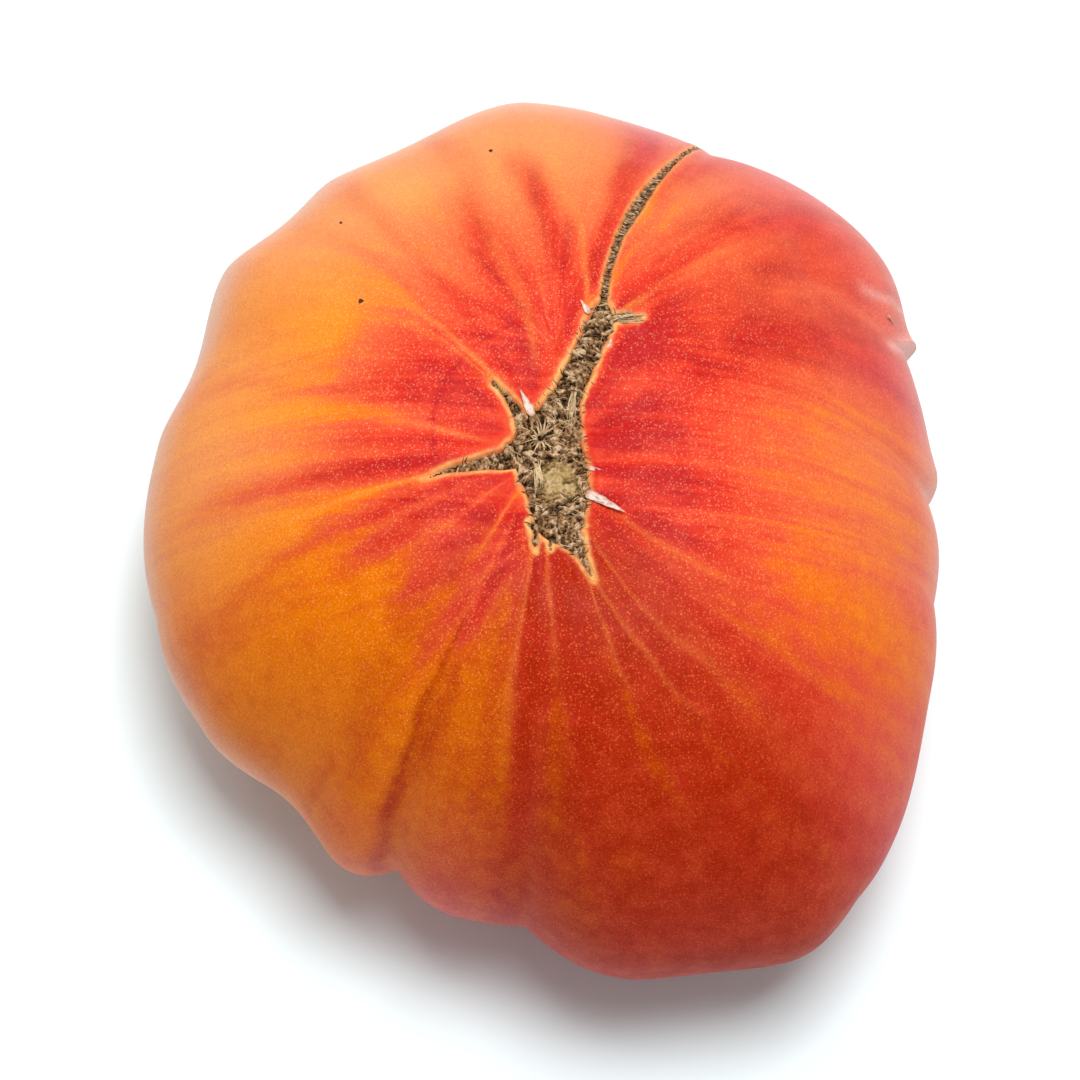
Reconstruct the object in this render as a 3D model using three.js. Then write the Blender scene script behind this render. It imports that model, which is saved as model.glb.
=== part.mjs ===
// A ribbed beefsteak tomato as picked, lying on its stem end with the blossom end up.
// Millimetres, +Z up, resting on Z = 0. The fruit is one grown piece, so it is one closed solid.
import * as THREE from "three";

const { clamp, degToRad, lerp, smoothstep } = THREE.MathUtils;

// Radius of the widest contour, every 20 degrees from +X, from the middle of the blossom scar.
const RIM_RADII = [
  52.5, 54.0, 60.4, 60.5, 60.8, 62.5, 58.7, 57.6, 53.9, 53.5, 53.0, 51.7, 51.8, 51.6, 59.0, 65.0, 60.7, 55.0,
];

// The half section from the blossom scar over the rim to the stem scar: share of the rim radius, height.
const SECTION = [
  [0.0, 66.6], [0.1, 67.2], [0.22, 68.0], [0.38, 67.6], [0.55, 64.4], [0.7, 59.2], [0.83, 52.0],
  [0.93, 43.6], [0.99, 34.5], [0.995, 25.5], [0.94, 16.0], [0.84, 7.8], [0.7, 2.0], [0.56, -0.9],
  [0.43, -0.8], [0.31, 2.6], [0.2, 6.6], [0.1, 9.6], [0.0, 10.4],
];

// The valleys between the lobes: azimuth, depth, half width in degrees, whether the bottom is a sharp
// cusp or round, and the share of the depth that is left at the rim and above it. Where one side of the
// valley stands proud of the other it has a step: its height, its round shoulder as a share of the half
// width, how fast it falls off beside the valley, and the places along the section where it begins and is
// full.
const SHARP = 1;
const ROUND = 2;
const ROUNDED_STEP = { height: 3.0, shoulder: 0.3, taper: 2, from: 0.36, full: 0.48 };
const FOLDED_STEP = { height: 2.5, shoulder: 0, taper: 4, from: 0.38, full: 0.44 };
const VALLEYS = [
  { at: 7, depth: 1.6, half: 11, bottom: SHARP, above: 1.0, step: ROUNDED_STEP },
  { at: 29, depth: 2.2, half: 12, bottom: SHARP, above: 1.0, step: FOLDED_STEP },
  { at: 46, depth: 2.0, half: 12, bottom: SHARP, above: 0.0 },
  { at: 67, depth: 1.8, half: 14, bottom: SHARP, above: 1.0 },
  { at: 77, depth: 1.0, half: 9, bottom: ROUND, above: 0.5 },
  { at: 107, depth: 2.4, half: 15, bottom: ROUND, above: 1.0 },
  { at: 130, depth: 1.3, half: 10, bottom: ROUND, above: 1.0 },
  { at: 152, depth: 2.1, half: 14, bottom: ROUND, above: 1.0 },
  { at: 192, depth: 2.6, half: 13, bottom: SHARP, above: 0.2 },
  { at: 208, depth: 1.0, half: 12, bottom: ROUND, above: 0.6 },
  { at: 226, depth: 3.0, half: 16, bottom: ROUND, above: 1.0 },
  { at: 245.8, depth: 3.5, half: 11, bottom: SHARP, above: 1.0 },
  { at: 267, depth: 2.2, half: 12, bottom: SHARP, above: 1.0 },
  { at: 292, depth: 1.5, half: 12, bottom: ROUND, above: 1.0 },
  { at: 310, depth: 2.6, half: 12, bottom: SHARP, above: 0.1 },
  { at: 331, depth: 1.1, half: 18, bottom: ROUND, above: 0.8 },
  { at: 350, depth: 2.0, half: 12, bottom: SHARP, above: 0.5 },
];

// Where along the section, from 0 at the blossom scar to 1 at the stem scar, things start and end.
const VALLEYS_START = 0.18;
const VALLEYS_FULL = 0.48;
const STEM_START = 0.07;
const STEM_FADE = 0.27;
const LOW_START = 0.45;
const LOW_FULL = 0.65;
const LOW_EXTRA = 0.4; // the valleys are this much deeper on the shoulders below the rim
const TOP_FADE = 0.3;
const TOP_END = 0.45;
const STEP_FADE = 0.55;
const STEP_END = 0.7;

// The lobes beside the folded seam lean over above its level: degrees of azimuth for the whole section,
// and how far to both sides.
const LEAN = { at: 29, perSection: -150, level: 0.4, most: 12, reach: 18 };

// The cork scar of the blossom end: each branch is a chain of [x, y, half width], from its root out.
const SCAR_BRANCHES = [
  // the body, down to the lower right tip
  [
    [0.4, 2.4, 4.3], [0.4, -0.6, 4.8], [1.4, -4.6, 4.2], [1.7, -8.8, 3.4], [3.1, -11.2, 1.9],
    [4.4, -13.4, 0.9], [5.9, -16.8, 0.35],
  ],
  // the long upper arm
  [[1.0, 3.6, 3.6], [2.9, 8.0, 2.1], [4.9, 12.4, 2.0], [6.6, 16.4, 2.1], [7.1, 19.0, 1.4]],
  // the left branch
  [[-1.6, 0.6, 3.5], [-5.2, -0.8, 1.6], [-8.6, -1.6, 1.1], [-12.0, -2.6, 0.7], [-15.0, -3.4, 0.3]],
  // the thin upper left branch
  [[-2.0, 2.6, 2.0], [-3.7, 5.2, 0.8], [-5.4, 7.4, 0.5], [-7.2, 8.8, 0.3]],
  // the spur at the head of the arm
  [[7.1, 17.6, 1.3], [9.4, 17.7, 0.8], [12.2, 17.8, 0.3]],
  // two short tips below the body
  [[-1.3, -9.4, 1.0], [-1.3, -13.0, 0.3]],
  [[0.5, -9.6, 1.0], [0.5, -12.6, 0.3]],
];

// The zipper scar, a narrow corky seam that runs on from the arm over the rim: [x, y, half width].
const ZIPPER = [
  [7.2, 19.4, 0.55], [7.9, 24.4, 0.45], [9.4, 29.8, 0.5], [11.7, 35.0, 0.8], [13.2, 38.3, 0.62],
  [16.8, 45.0, 0.33], [20.2, 51.4, 0.25], [23.6, 57.6, 0.2],
];

// The puckered seams that radiate from the scar, each from its root out: [x, y].
const PUCKERS = [
  [[6.8, 20.4], [5.4, 24.2], [3.8, 28.9], [1.9, 36.6]],
  [[1.2, 13.3], [-2.0, 17.8], [-5.2, 25.8], [-8.3, 35.9]],
  [[-7.1, 8.8], [-12.0, 12.2], [-19.1, 16.0], [-27.3, 20.6]],
  [[-7.6, 1.2], [-13.1, 2.8], [-18.2, 3.7], [-27.1, 5.0]],
  [[-14.5, -3.3], [-17.4, -4.5], [-25.6, -5.7], [-37.3, -7.2]],
  [[-3.7, -5.0], [-7.6, -10.5], [-13.2, -17.9]],
  [[-1.3, -12.5], [-2.5, -17.6], [-4.2, -24.0], [-5.2, -30.9]],
  [[0.4, -12.2], [0.8, -18.6], [1.3, -24.2], [1.9, -31.2]],
  [[6.3, -16.9], [8.2, -22.6], [11.6, -30.3], [16.6, -39.0]],
  [[6.8, -15.9], [9.2, -19.2], [16.7, -29.0], [26.6, -37.2]],
  [[6.3, -13.4], [11.6, -17.5], [19.0, -23.9], [31.6, -29.5]],
  [[6.8, -6.3], [14.1, -11.7], [22.7, -15.0], [31.8, -16.2]],
  [[5.4, -1.4], [10.8, -0.5], [18.6, -0.2]],
  [[4.4, 2.6], [8.1, 3.7], [13.2, 4.6]],
  [[8.4, 19.7], [14.9, 23.0], [22.4, 29.2], [31.8, 35.9]],
];

// The white papery flake and the smaller slivers that stand up at the edge of the cork.
const FLAKES = [
  [[5.2, -5.4, 0.6], [7.4, -6.5, 0.7], [9.8, -8.2, 0.2]],
  [[-3.2, 6.6, 0.2], [-2.2, 4.4, 0.5]],
  [[4.8, 19.4, 0.2], [5.8, 18.2, 0.5]],
];

// Depths and heights of the relief round the scar.
const CORK_DEPTH = 0.9;
const CORK_SLOPE = 1.3;
const CORK_LUMP = 0.3;
const LIP_HEIGHT = 0.35;
const LIP_DISTANCE = 1.1;
const LIP_WIDTH = 0.9;
const ZIPPER_DEPTH = 0.45;
const ZIPPER_SLOPE = 0.5;
const PUCKER_DEPTH = 0.5;
const PUCKER_WIDTH = 0.8;
const PUCKER_WIDENS = 0.035; // for each millimetre from the middle
const PUCKER_REACH = 36;
const FLAKE_HEIGHT = 0.7;
const PATCH = { x: 1.3, y: -3.2, radius: 2.2, height: 0.55 }; // the raised patch below the star of fibres

// The round cork scar that the stalk left, in the hollow underneath.
const STEM_SCAR = { radius: 6.5, rimHeight: 1.0, rimWidth: 1.6, dish: 1.6, from: 0.82 };

// Spacing of the surface's facets, and the fine band of columns along the zipper.
const COLUMN_STEP = 4;
const ZIPPER_BAND = { from: 65.2, to: 75.4, step: 1.2 };
const STEP_COLUMN = 0.9; // the foot of a sheer step lies this many degrees beside its top
const ROWS = [
  { to: 0.175, count: 19 },
  { to: 0.5, count: 12 },
  { to: 0.68, count: 5 },
  { to: 0.8, count: 5 },
  { to: 1.0, count: 10 },
];

const rimCurve = new THREE.CatmullRomCurve3(
  RIM_RADII.map((radius) => new THREE.Vector3(radius, 0, 0)),
  true,
  "catmullrom",
  0.5,
);
const sectionPoints = SECTION.map(([share, height]) => new THREE.Vector2(share, height));
const sectionCurve = new THREE.SplineCurve(sectionPoints);

// The signed angle from b to a, in degrees between -180 and 180.
function turn(a, b) {
  return THREE.MathUtils.euclideanModulo(a - b + 180, 360) - 180;
}

// Distance from a point to a chain of points, less the chain's half width there.
function distanceToChain(x, y, chain) {
  let nearest = Infinity;
  for (let i = 0; i + 1 < chain.length; i += 1) {
    const [ax, ay, aw = 0] = chain[i];
    const [bx, by, bw = 0] = chain[i + 1];
    const along = ((x - ax) * (bx - ax) + (y - ay) * (by - ay)) / ((bx - ax) ** 2 + (by - ay) ** 2);
    const share = clamp(along, 0, 1);
    const gap = Math.hypot(x - lerp(ax, bx, share), y - lerp(ay, by, share));
    nearest = Math.min(nearest, gap - lerp(aw, bw, share));
  }
  return nearest;
}

// The least distance to any of several chains.
function distanceToAny(x, y, chains) {
  return Math.min(...chains.map((chain) => distanceToChain(x, y, chain)));
}

// How deep the valleys cut into the lobes at an azimuth in degrees and a place along the section.
function valleyDepth(degrees, along) {
  const rise = smoothstep(along, VALLEYS_START, VALLEYS_FULL);
  const fall = smoothstep(1 - along, STEM_START, STEM_FADE);
  const low = clamp((along - LOW_START) / (LOW_FULL - LOW_START), 0, 1);
  let depth = 0;
  for (const valley of VALLEYS) {
    const beside = clamp(Math.abs(turn(degrees, valley.at)) / valley.half, 0, 1);
    depth += valley.depth * (1 - beside ** valley.bottom) ** 2 * lerp(valley.above, 1, low);
  }
  return depth * rise * fall * (1 + LOW_EXTRA * low);
}

// How far the proud side of a stepped valley stands out.
function stepHeight(degrees, along) {
  let height = 0;
  for (const { at, half, step } of VALLEYS.filter((valley) => valley.step)) {
    const beside = turn(degrees, at) / half;
    const round = step.shoulder ? Math.sqrt(clamp(beside / step.shoulder, 0, 1)) : 1;
    const share = smoothstep(along, step.from, step.full);
    if (beside >= 0 && beside < 1) height += step.height * share * round * (1 - beside) ** step.taper;
  }
  return height * (1 - smoothstep(along, STEP_FADE, STEP_END));
}

// The azimuth of a column once the lobes beside the folded seam lean.
function leaningAzimuth(degrees, along) {
  const lean = clamp(LEAN.perSection * (along - LEAN.level), 0, LEAN.most);
  return degrees + lean * Math.exp(-((turn(degrees, LEAN.at) / LEAN.reach) ** 2));
}

// Relief of the cork, its lip, the zipper, the puckers and the flakes, by place on the plan.
function topRelief(x, y) {
  const scar = distanceToAny(x, y, SCAR_BRANCHES);
  const zipper = distanceToChain(x, y, ZIPPER);
  const lump = Math.sin(2.1 * x + 0.7) * Math.sin(1.9 * y + 1.3) + 0.5 * Math.sin(3.7 * x - 2.3 * y);
  const cork = smoothstep(-scar, 0, CORK_SLOPE);
  const patch = Math.exp(-(((x - PATCH.x) ** 2 + (y - PATCH.y) ** 2) / PATCH.radius ** 2));
  let height = cork * (-CORK_DEPTH + CORK_LUMP * lump + PATCH.height * patch);
  height -= ZIPPER_DEPTH * smoothstep(-zipper, -ZIPPER_SLOPE, ZIPPER_SLOPE) * (1 - cork);
  const edge = Math.min(scar, zipper);
  height += LIP_HEIGHT * Math.exp(-(((edge - LIP_DISTANCE) / LIP_WIDTH) ** 2));
  const distance = Math.hypot(x, y);
  const width = PUCKER_WIDTH + PUCKER_WIDENS * distance;
  const pucker = Math.exp(-((distanceToAny(x, y, PUCKERS) / width) ** 2));
  height -= PUCKER_DEPTH * pucker * (1 - smoothstep(distance, 0, PUCKER_REACH)) * (1 - cork);
  height += FLAKE_HEIGHT * smoothstep(-distanceToAny(x, y, FLAKES), -0.3, 0.4);
  return height;
}

// Relief of the cork dish that the stalk left underneath.
function stemRelief(distance) {
  const rim = Math.exp(-(((distance - STEM_SCAR.radius) / STEM_SCAR.rimWidth) ** 2));
  const dish = 1 - smoothstep(distance, 0, STEM_SCAR.radius);
  return STEM_SCAR.rimHeight * rim - STEM_SCAR.dish * dish;
}

// The point of the skin on a column, in degrees, at a place along the section from 0 to 1.
function skinPoint(degrees, along) {
  const rim = rimCurve.getPoint(degrees / 360).x;
  const section = sectionCurve.getPoint(along);
  const slope = sectionCurve.getTangent(along);
  // getTangent has length 1 in shares and heights, so the share is scaled to the rim's radius first
  const direction = new THREE.Vector2(slope.x * rim, slope.y).normalize();
  const outward = new THREE.Vector2(-direction.y, direction.x);
  const azimuth = degToRad(leaningAzimuth(degrees, along));
  const bare = section.x * rim;
  let lift = stepHeight(degrees, along) - valleyDepth(degrees, along);
  if (along < TOP_END) {
    const share = 1 - smoothstep(along, TOP_FADE, TOP_END);
    lift += topRelief(bare * Math.cos(azimuth), bare * Math.sin(azimuth)) * share;
  }
  if (along > STEM_SCAR.from) lift += stemRelief(bare);
  const radius = bare + lift * outward.x;
  const height = Math.max(section.y + lift * outward.y, 0);
  return new THREE.Vector3(radius * Math.cos(azimuth), radius * Math.sin(azimuth), height);
}

// Azimuths of the columns: an even spacing that gives way to the sharp valleys and the zipper's band.
function columnAzimuths() {
  const set = [];
  for (let a = ZIPPER_BAND.from; a <= ZIPPER_BAND.to; a += ZIPPER_BAND.step) set.push(a);
  for (const { at, half, bottom, step } of VALLEYS) {
    if (bottom === SHARP && (at < ZIPPER_BAND.from || at > ZIPPER_BAND.to)) set.push(at);
    if (step) set.push(step.shoulder ? at + (half * step.shoulder) / 2 : at - STEP_COLUMN);
  }
  const placed = [...set];
  for (let a = 0; a < 360; a += COLUMN_STEP) {
    if (placed.every((other) => Math.abs(turn(a, other)) > COLUMN_STEP * 0.4)) set.push(a);
  }
  return set.sort((a, b) => a - b);
}

// Places of the rows along the section, without the two ends.
function rowPlaces() {
  const places = [];
  let start = 0;
  for (const { to, count } of ROWS) {
    for (let i = 1; i <= count; i += 1) places.push(lerp(start, to, i / count));
    start = to;
  }
  places.pop();
  return places;
}

// One closed surface of columns and rows, with a fan of triangles at each end.
function fruitGeometry() {
  const columns = columnAzimuths();
  const rows = rowPlaces();
  const points = [skinPoint(0, 0)];
  for (const along of rows) {
    for (const degrees of columns) points.push(skinPoint(degrees, along));
  }
  points.push(skinPoint(0, 1));
  const last = points.length - 1;
  const corner = (row, column) => 1 + row * columns.length + (column % columns.length);
  const triangles = [];
  for (let column = 0; column < columns.length; column += 1) {
    triangles.push(0, corner(0, column), corner(0, column + 1));
    for (let row = 0; row + 1 < rows.length; row += 1) {
      const upper = [corner(row, column), corner(row, column + 1)];
      const lower = [corner(row + 1, column), corner(row + 1, column + 1)];
      triangles.push(upper[0], lower[0], lower[1], upper[0], lower[1], upper[1]);
    }
    triangles.push(corner(rows.length - 1, column + 1), corner(rows.length - 1, column), last);
  }
  const geometry = new THREE.BufferGeometry().setFromPoints(points);
  geometry.setIndex(triangles);
  geometry.computeVertexNormals();
  return geometry;
}

// Moves the fruit so that the middle of its box stands over the origin.
function centreOnOrigin(geometry) {
  geometry.computeBoundingBox();
  const middle = geometry.boundingBox.getCenter(new THREE.Vector3());
  return geometry.translate(-middle.x, -middle.y, -geometry.boundingBox.min.z);
}

const skin = new THREE.MeshStandardMaterial({ color: 0xe2542c, roughness: 0.4, metalness: 0 });
const tomato = new THREE.Mesh(centreOnOrigin(fruitGeometry()), skin);
tomato.name = "tomato";

const fruit = new THREE.Group();
fruit.add(tomato);

export default fruit;
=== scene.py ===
"""A large ribbed beefsteak tomato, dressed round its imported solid.

The skin, the cork scar of the blossom end with its zipper, the dry fibres and flakes on it, and the
scar that the stalk left underneath are built by formula. The form repeats the solid's own, finer.
Sizes in the classes are millimetres, measured on the plan from the middle of the blossom scar, and
each mesh is turned to metres in the part's frame as it is made.
"""
import logging
import math
from collections.abc import Iterator
from dataclasses import dataclass, field
from enum import Enum

import bpy
import numpy as np
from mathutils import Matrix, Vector


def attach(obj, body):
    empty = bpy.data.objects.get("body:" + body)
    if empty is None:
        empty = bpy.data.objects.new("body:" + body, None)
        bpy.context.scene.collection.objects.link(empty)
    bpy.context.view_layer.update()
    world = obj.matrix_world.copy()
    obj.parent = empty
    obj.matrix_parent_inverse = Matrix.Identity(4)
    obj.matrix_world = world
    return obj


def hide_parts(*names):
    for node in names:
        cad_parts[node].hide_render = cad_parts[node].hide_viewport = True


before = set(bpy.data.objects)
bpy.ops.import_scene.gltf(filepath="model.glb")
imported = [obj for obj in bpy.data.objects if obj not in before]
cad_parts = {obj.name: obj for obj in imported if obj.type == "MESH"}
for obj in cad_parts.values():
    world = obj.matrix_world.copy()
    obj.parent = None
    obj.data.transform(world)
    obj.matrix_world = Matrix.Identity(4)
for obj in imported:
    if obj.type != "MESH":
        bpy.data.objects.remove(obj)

Array = np.ndarray
Chance = np.random.Generator
Colour = tuple[float, float, float]
Span = tuple[float, float]
Triple = tuple[float, float, float]
Chain = tuple[tuple[float, ...], ...]
Faces = list[tuple[int, ...]]
Socket = bpy.types.NodeSocket
Material = bpy.types.Material
Piece = bpy.types.Object

log = logging.getLogger("tomato")

MM = 0.001
SCAR_PLACE = (0.6597, -1.9590)  # the scar's middle in the part's frame, in millimetres
SCRAMBLERS = (374761393, 668265263, 974634777, 1274126177)  # large odd numbers that make neighbours unlike
OCTAVE_SHIFT = (17.3, -9.1)  # how far each octave of unevenness is moved from the one before


def ease(value: Array, low: float, high: float) -> Array:
    """Rises smoothly from 0 to 1.

    Args:
        value: what is tested.
        low: where the rise starts.
        high: where it ends.

    Returns:
        The share, with flat ends.
    """
    share = np.clip((value - low) / (high - low), 0.0, 1.0)
    return share * share * (3.0 - 2.0 * share)


def turn(first: Array, second: float) -> Array:
    """Returns the signed angle from second to first, between -180 and 180 degrees."""
    return np.mod(first - second + 180.0, 360.0) - 180.0


def spline(points: Array, place: Array, closed: bool = False) -> Array:
    """Runs a smooth curve through evenly spaced points.

    Args:
        points: one value or one row for each point.
        place: from 0 at the first point to 1 at the last, or to 1 once round.
        closed: whether the curve runs on from the last point to the first.

    Returns:
        The curve's values at each place.
    """
    count = len(points)
    if closed:
        step = np.mod(place, 1.0) * count
        start = np.floor(step).astype(int)
        before, first, second, after = (np.mod(start + k, count) for k in (-1, 0, 1, 2))
    else:
        step = place * (count - 1)
        start = np.minimum(np.floor(step).astype(int), count - 2)
        before, first = np.maximum(start - 1, 0), start
        second, after = start + 1, np.minimum(start + 2, count - 1)
    share = step - start
    if points.ndim == 2:
        share = share[..., None]
    slope_in = (points[second] - points[before]) * 0.5
    slope_out = (points[after] - points[first]) * 0.5
    rise = points[second] - points[first]
    cubic = slope_in + slope_out - 2.0 * rise
    square = 3.0 * rise - 2.0 * slope_in - slope_out
    return ((cubic * share + square) * share + slope_in) * share + points[first]


def chain_gaps(x: Array, y: Array, chain: Chain) -> Iterator[tuple[Array, Array, Array]]:
    """Measures places of the plan against each stretch of a chain.

    Args:
        x: places along X.
        y: places along Y.
        chain: the chain's points as (x, y) or (x, y, half width).

    Yields:
        The distance less the half width there, the way along the chain, and the signed distance beside it.
    """
    reached = 0.0
    for start, end in zip(chain, chain[1:]):
        dx, dy = end[0] - start[0], end[1] - start[1]
        length = math.hypot(dx, dy)
        east, north = x - start[0], y - start[1]
        share = np.clip((east * dx + north * dy) / length**2, 0.0, 1.0)
        gap = np.hypot(east - share * dx, north - share * dy)
        if len(start) > 2:
            gap = gap - (start[2] + share * (end[2] - start[2]))
        yield gap, reached + share * length, (east * dy - north * dx) / length
        reached += length


def chain_distance(x: Array, y: Array, chain: Chain) -> Array:
    """Returns how far places of the plan lie from a chain, below 0 inside its width."""
    return np.min([gap for gap, _, _ in chain_gaps(x, y, chain)], axis=0)


def along_chain(chain: Chain, spacing: float) -> Array:
    """Walks a chain of points.

    Args:
        chain: the points as (x, y, half width).
        spacing: the step, in millimetres.

    Returns:
        Rows of x, y, half width, and the direction's x and y.
    """
    points = np.array(chain, float)
    lengths = np.hypot(*np.diff(points[:, :2], axis=0).T)
    reached = np.concatenate([[0.0], np.cumsum(lengths)])
    steps = np.arange(0.0, reached[-1], spacing)
    rows = np.stack([np.interp(steps, reached, points[:, k]) for k in range(3)], axis=1)
    heading = np.gradient(rows[:, :2], axis=0)
    heading /= np.linalg.norm(heading, axis=1, keepdims=True)
    return np.hstack([rows, heading])


@dataclass(frozen=True)
class Unevenness:
    """Smooth random unevenness of the plan, the same each time for one seed."""

    seed: int

    def _corner(self, column: Array, row: Array) -> Array:
        """Returns the random value, from -1 to 1, of one corner of the lattice.

        Args:
            column: the corner's column.
            row: the corner's row.

        Returns:
            The value.
        """
        by_column, by_row, by_seed, last = SCRAMBLERS
        mixed = column.astype(np.int64) * by_column + row.astype(np.int64) * by_row + self.seed * by_seed
        mixed = (mixed ^ (mixed >> 13)) * last
        return ((mixed ^ (mixed >> 16)) & 0xFFFF) / 32767.5 - 1.0

    def at(self, x: Array, y: Array, length: float) -> Array:
        """Returns unevenness from -1 to 1 whose bumps are about one length wide.

        Args:
            x: places along X.
            y: places along Y.
            length: how wide the bumps are.

        Returns:
            The unevenness.
        """
        u, v = x / length, y / length
        column, row = np.floor(u), np.floor(v)
        across, down = ease(u - column, 0.0, 1.0), ease(v - row, 0.0, 1.0)
        upper = self._corner(column, row) * (1 - across) + self._corner(column + 1, row) * across
        lower = self._corner(column, row + 1) * (1 - across) + self._corner(column + 1, row + 1) * across
        return upper * (1 - down) + lower * down

    def plates(self, u: Array, v: Array) -> tuple[Array, Array]:
        """Splits the plan into ragged plates about one unit wide.

        Args:
            u: places along the first direction.
            v: places along the second.

        Returns:
            How much further off the second nearest plate's middle lies, and the nearest one's tone
            from -1 to 1.
        """
        spread = 0.45
        column, row = np.floor(u), np.floor(v)
        first, second = np.full(np.shape(u), np.inf), np.full(np.shape(u), np.inf)
        tone = np.zeros(np.shape(u))
        for i in (-1, 0, 1):
            for j in (-1, 0, 1):
                mid_u = column + i + 0.5 + spread * self._corner(column + i, row + j)
                mid_v = row + j + 0.5 + spread * self._corner(column + i + 57, row + j + 31)
                reach = np.hypot(u - mid_u, v - mid_v)
                tone = np.where(reach < first, self._corner(column + i + 11, row + j + 83), tone)
                second = np.minimum(second, np.maximum(first, reach))
                first = np.minimum(first, reach)
        return second - first, tone

    def rough(self, x: Array, y: Array, length: float, octaves: int = 3) -> Array:
        """Adds octaves of ever finer unevenness, each half as strong as the one before.

        Args:
            x: places along X.
            y: places along Y.
            length: how wide the bumps are.
            octaves: how many octaves there are.

        Returns:
            The sum.
        """
        total = np.zeros(np.shape(x))
        for octave in range(octaves):
            finer = 2.0**octave
            east, north = x + OCTAVE_SHIFT[0] * octave, y + OCTAVE_SHIFT[1] * octave
            total += self.at(east, north, length / finer) / finer
        return total


class Bottom(Enum):
    """How the bottom of a valley between two lobes is shaped."""

    SHARP = 1
    ROUND = 2


@dataclass(frozen=True)
class Step:
    """One side of a valley that stands proud of the other.

    The shoulder is the share of the half width that it rounds over, and the last four are the places
    along the section where it begins, is full, starts to fade and ends.
    """

    height: float
    shoulder: float
    taper: float
    begins: float
    full: float
    fades: float
    ends: float


@dataclass(frozen=True)
class Valley:
    """A valley between two lobes.

    It has an azimuth, a depth, a half width in degrees, a bottom and the share left above the rim.
    """

    at: float
    depth: float
    half: float
    bottom: Bottom
    above: float
    step: Step | None = None


ROUNDED_STEP = Step(3.0, 0.3, 2.0, 0.36, 0.48, 0.55, 0.7)
FOLDED_STEP = Step(2.0, 0.0, 5.0, 0.4, 0.44, 0.455, 0.49)
VALLEYS = (
    Valley(7, 1.6, 11, Bottom.SHARP, 1.0, ROUNDED_STEP),
    Valley(28.3, 1.7, 12, Bottom.SHARP, 1.0, FOLDED_STEP),
    Valley(46, 2.0, 12, Bottom.SHARP, 0.0),
    Valley(67, 1.8, 14, Bottom.SHARP, 1.0),
    Valley(77, 1.0, 9, Bottom.ROUND, 0.5),
    Valley(107, 2.4, 15, Bottom.ROUND, 1.0),
    Valley(130, 1.3, 10, Bottom.ROUND, 1.0),
    Valley(152, 2.1, 14, Bottom.ROUND, 1.0),
    Valley(192, 2.6, 13, Bottom.SHARP, 0.2),
    Valley(208, 1.0, 12, Bottom.ROUND, 0.6),
    Valley(226, 3.0, 16, Bottom.ROUND, 1.0),
    Valley(245.8, 3.5, 11, Bottom.SHARP, 1.0),
    Valley(267, 2.2, 12, Bottom.SHARP, 1.0),
    Valley(292, 1.5, 12, Bottom.ROUND, 1.0),
    Valley(310, 2.6, 12, Bottom.SHARP, 0.1),
    Valley(331, 1.1, 18, Bottom.ROUND, 0.8),
    Valley(350, 2.0, 12, Bottom.SHARP, 0.5),
)


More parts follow.
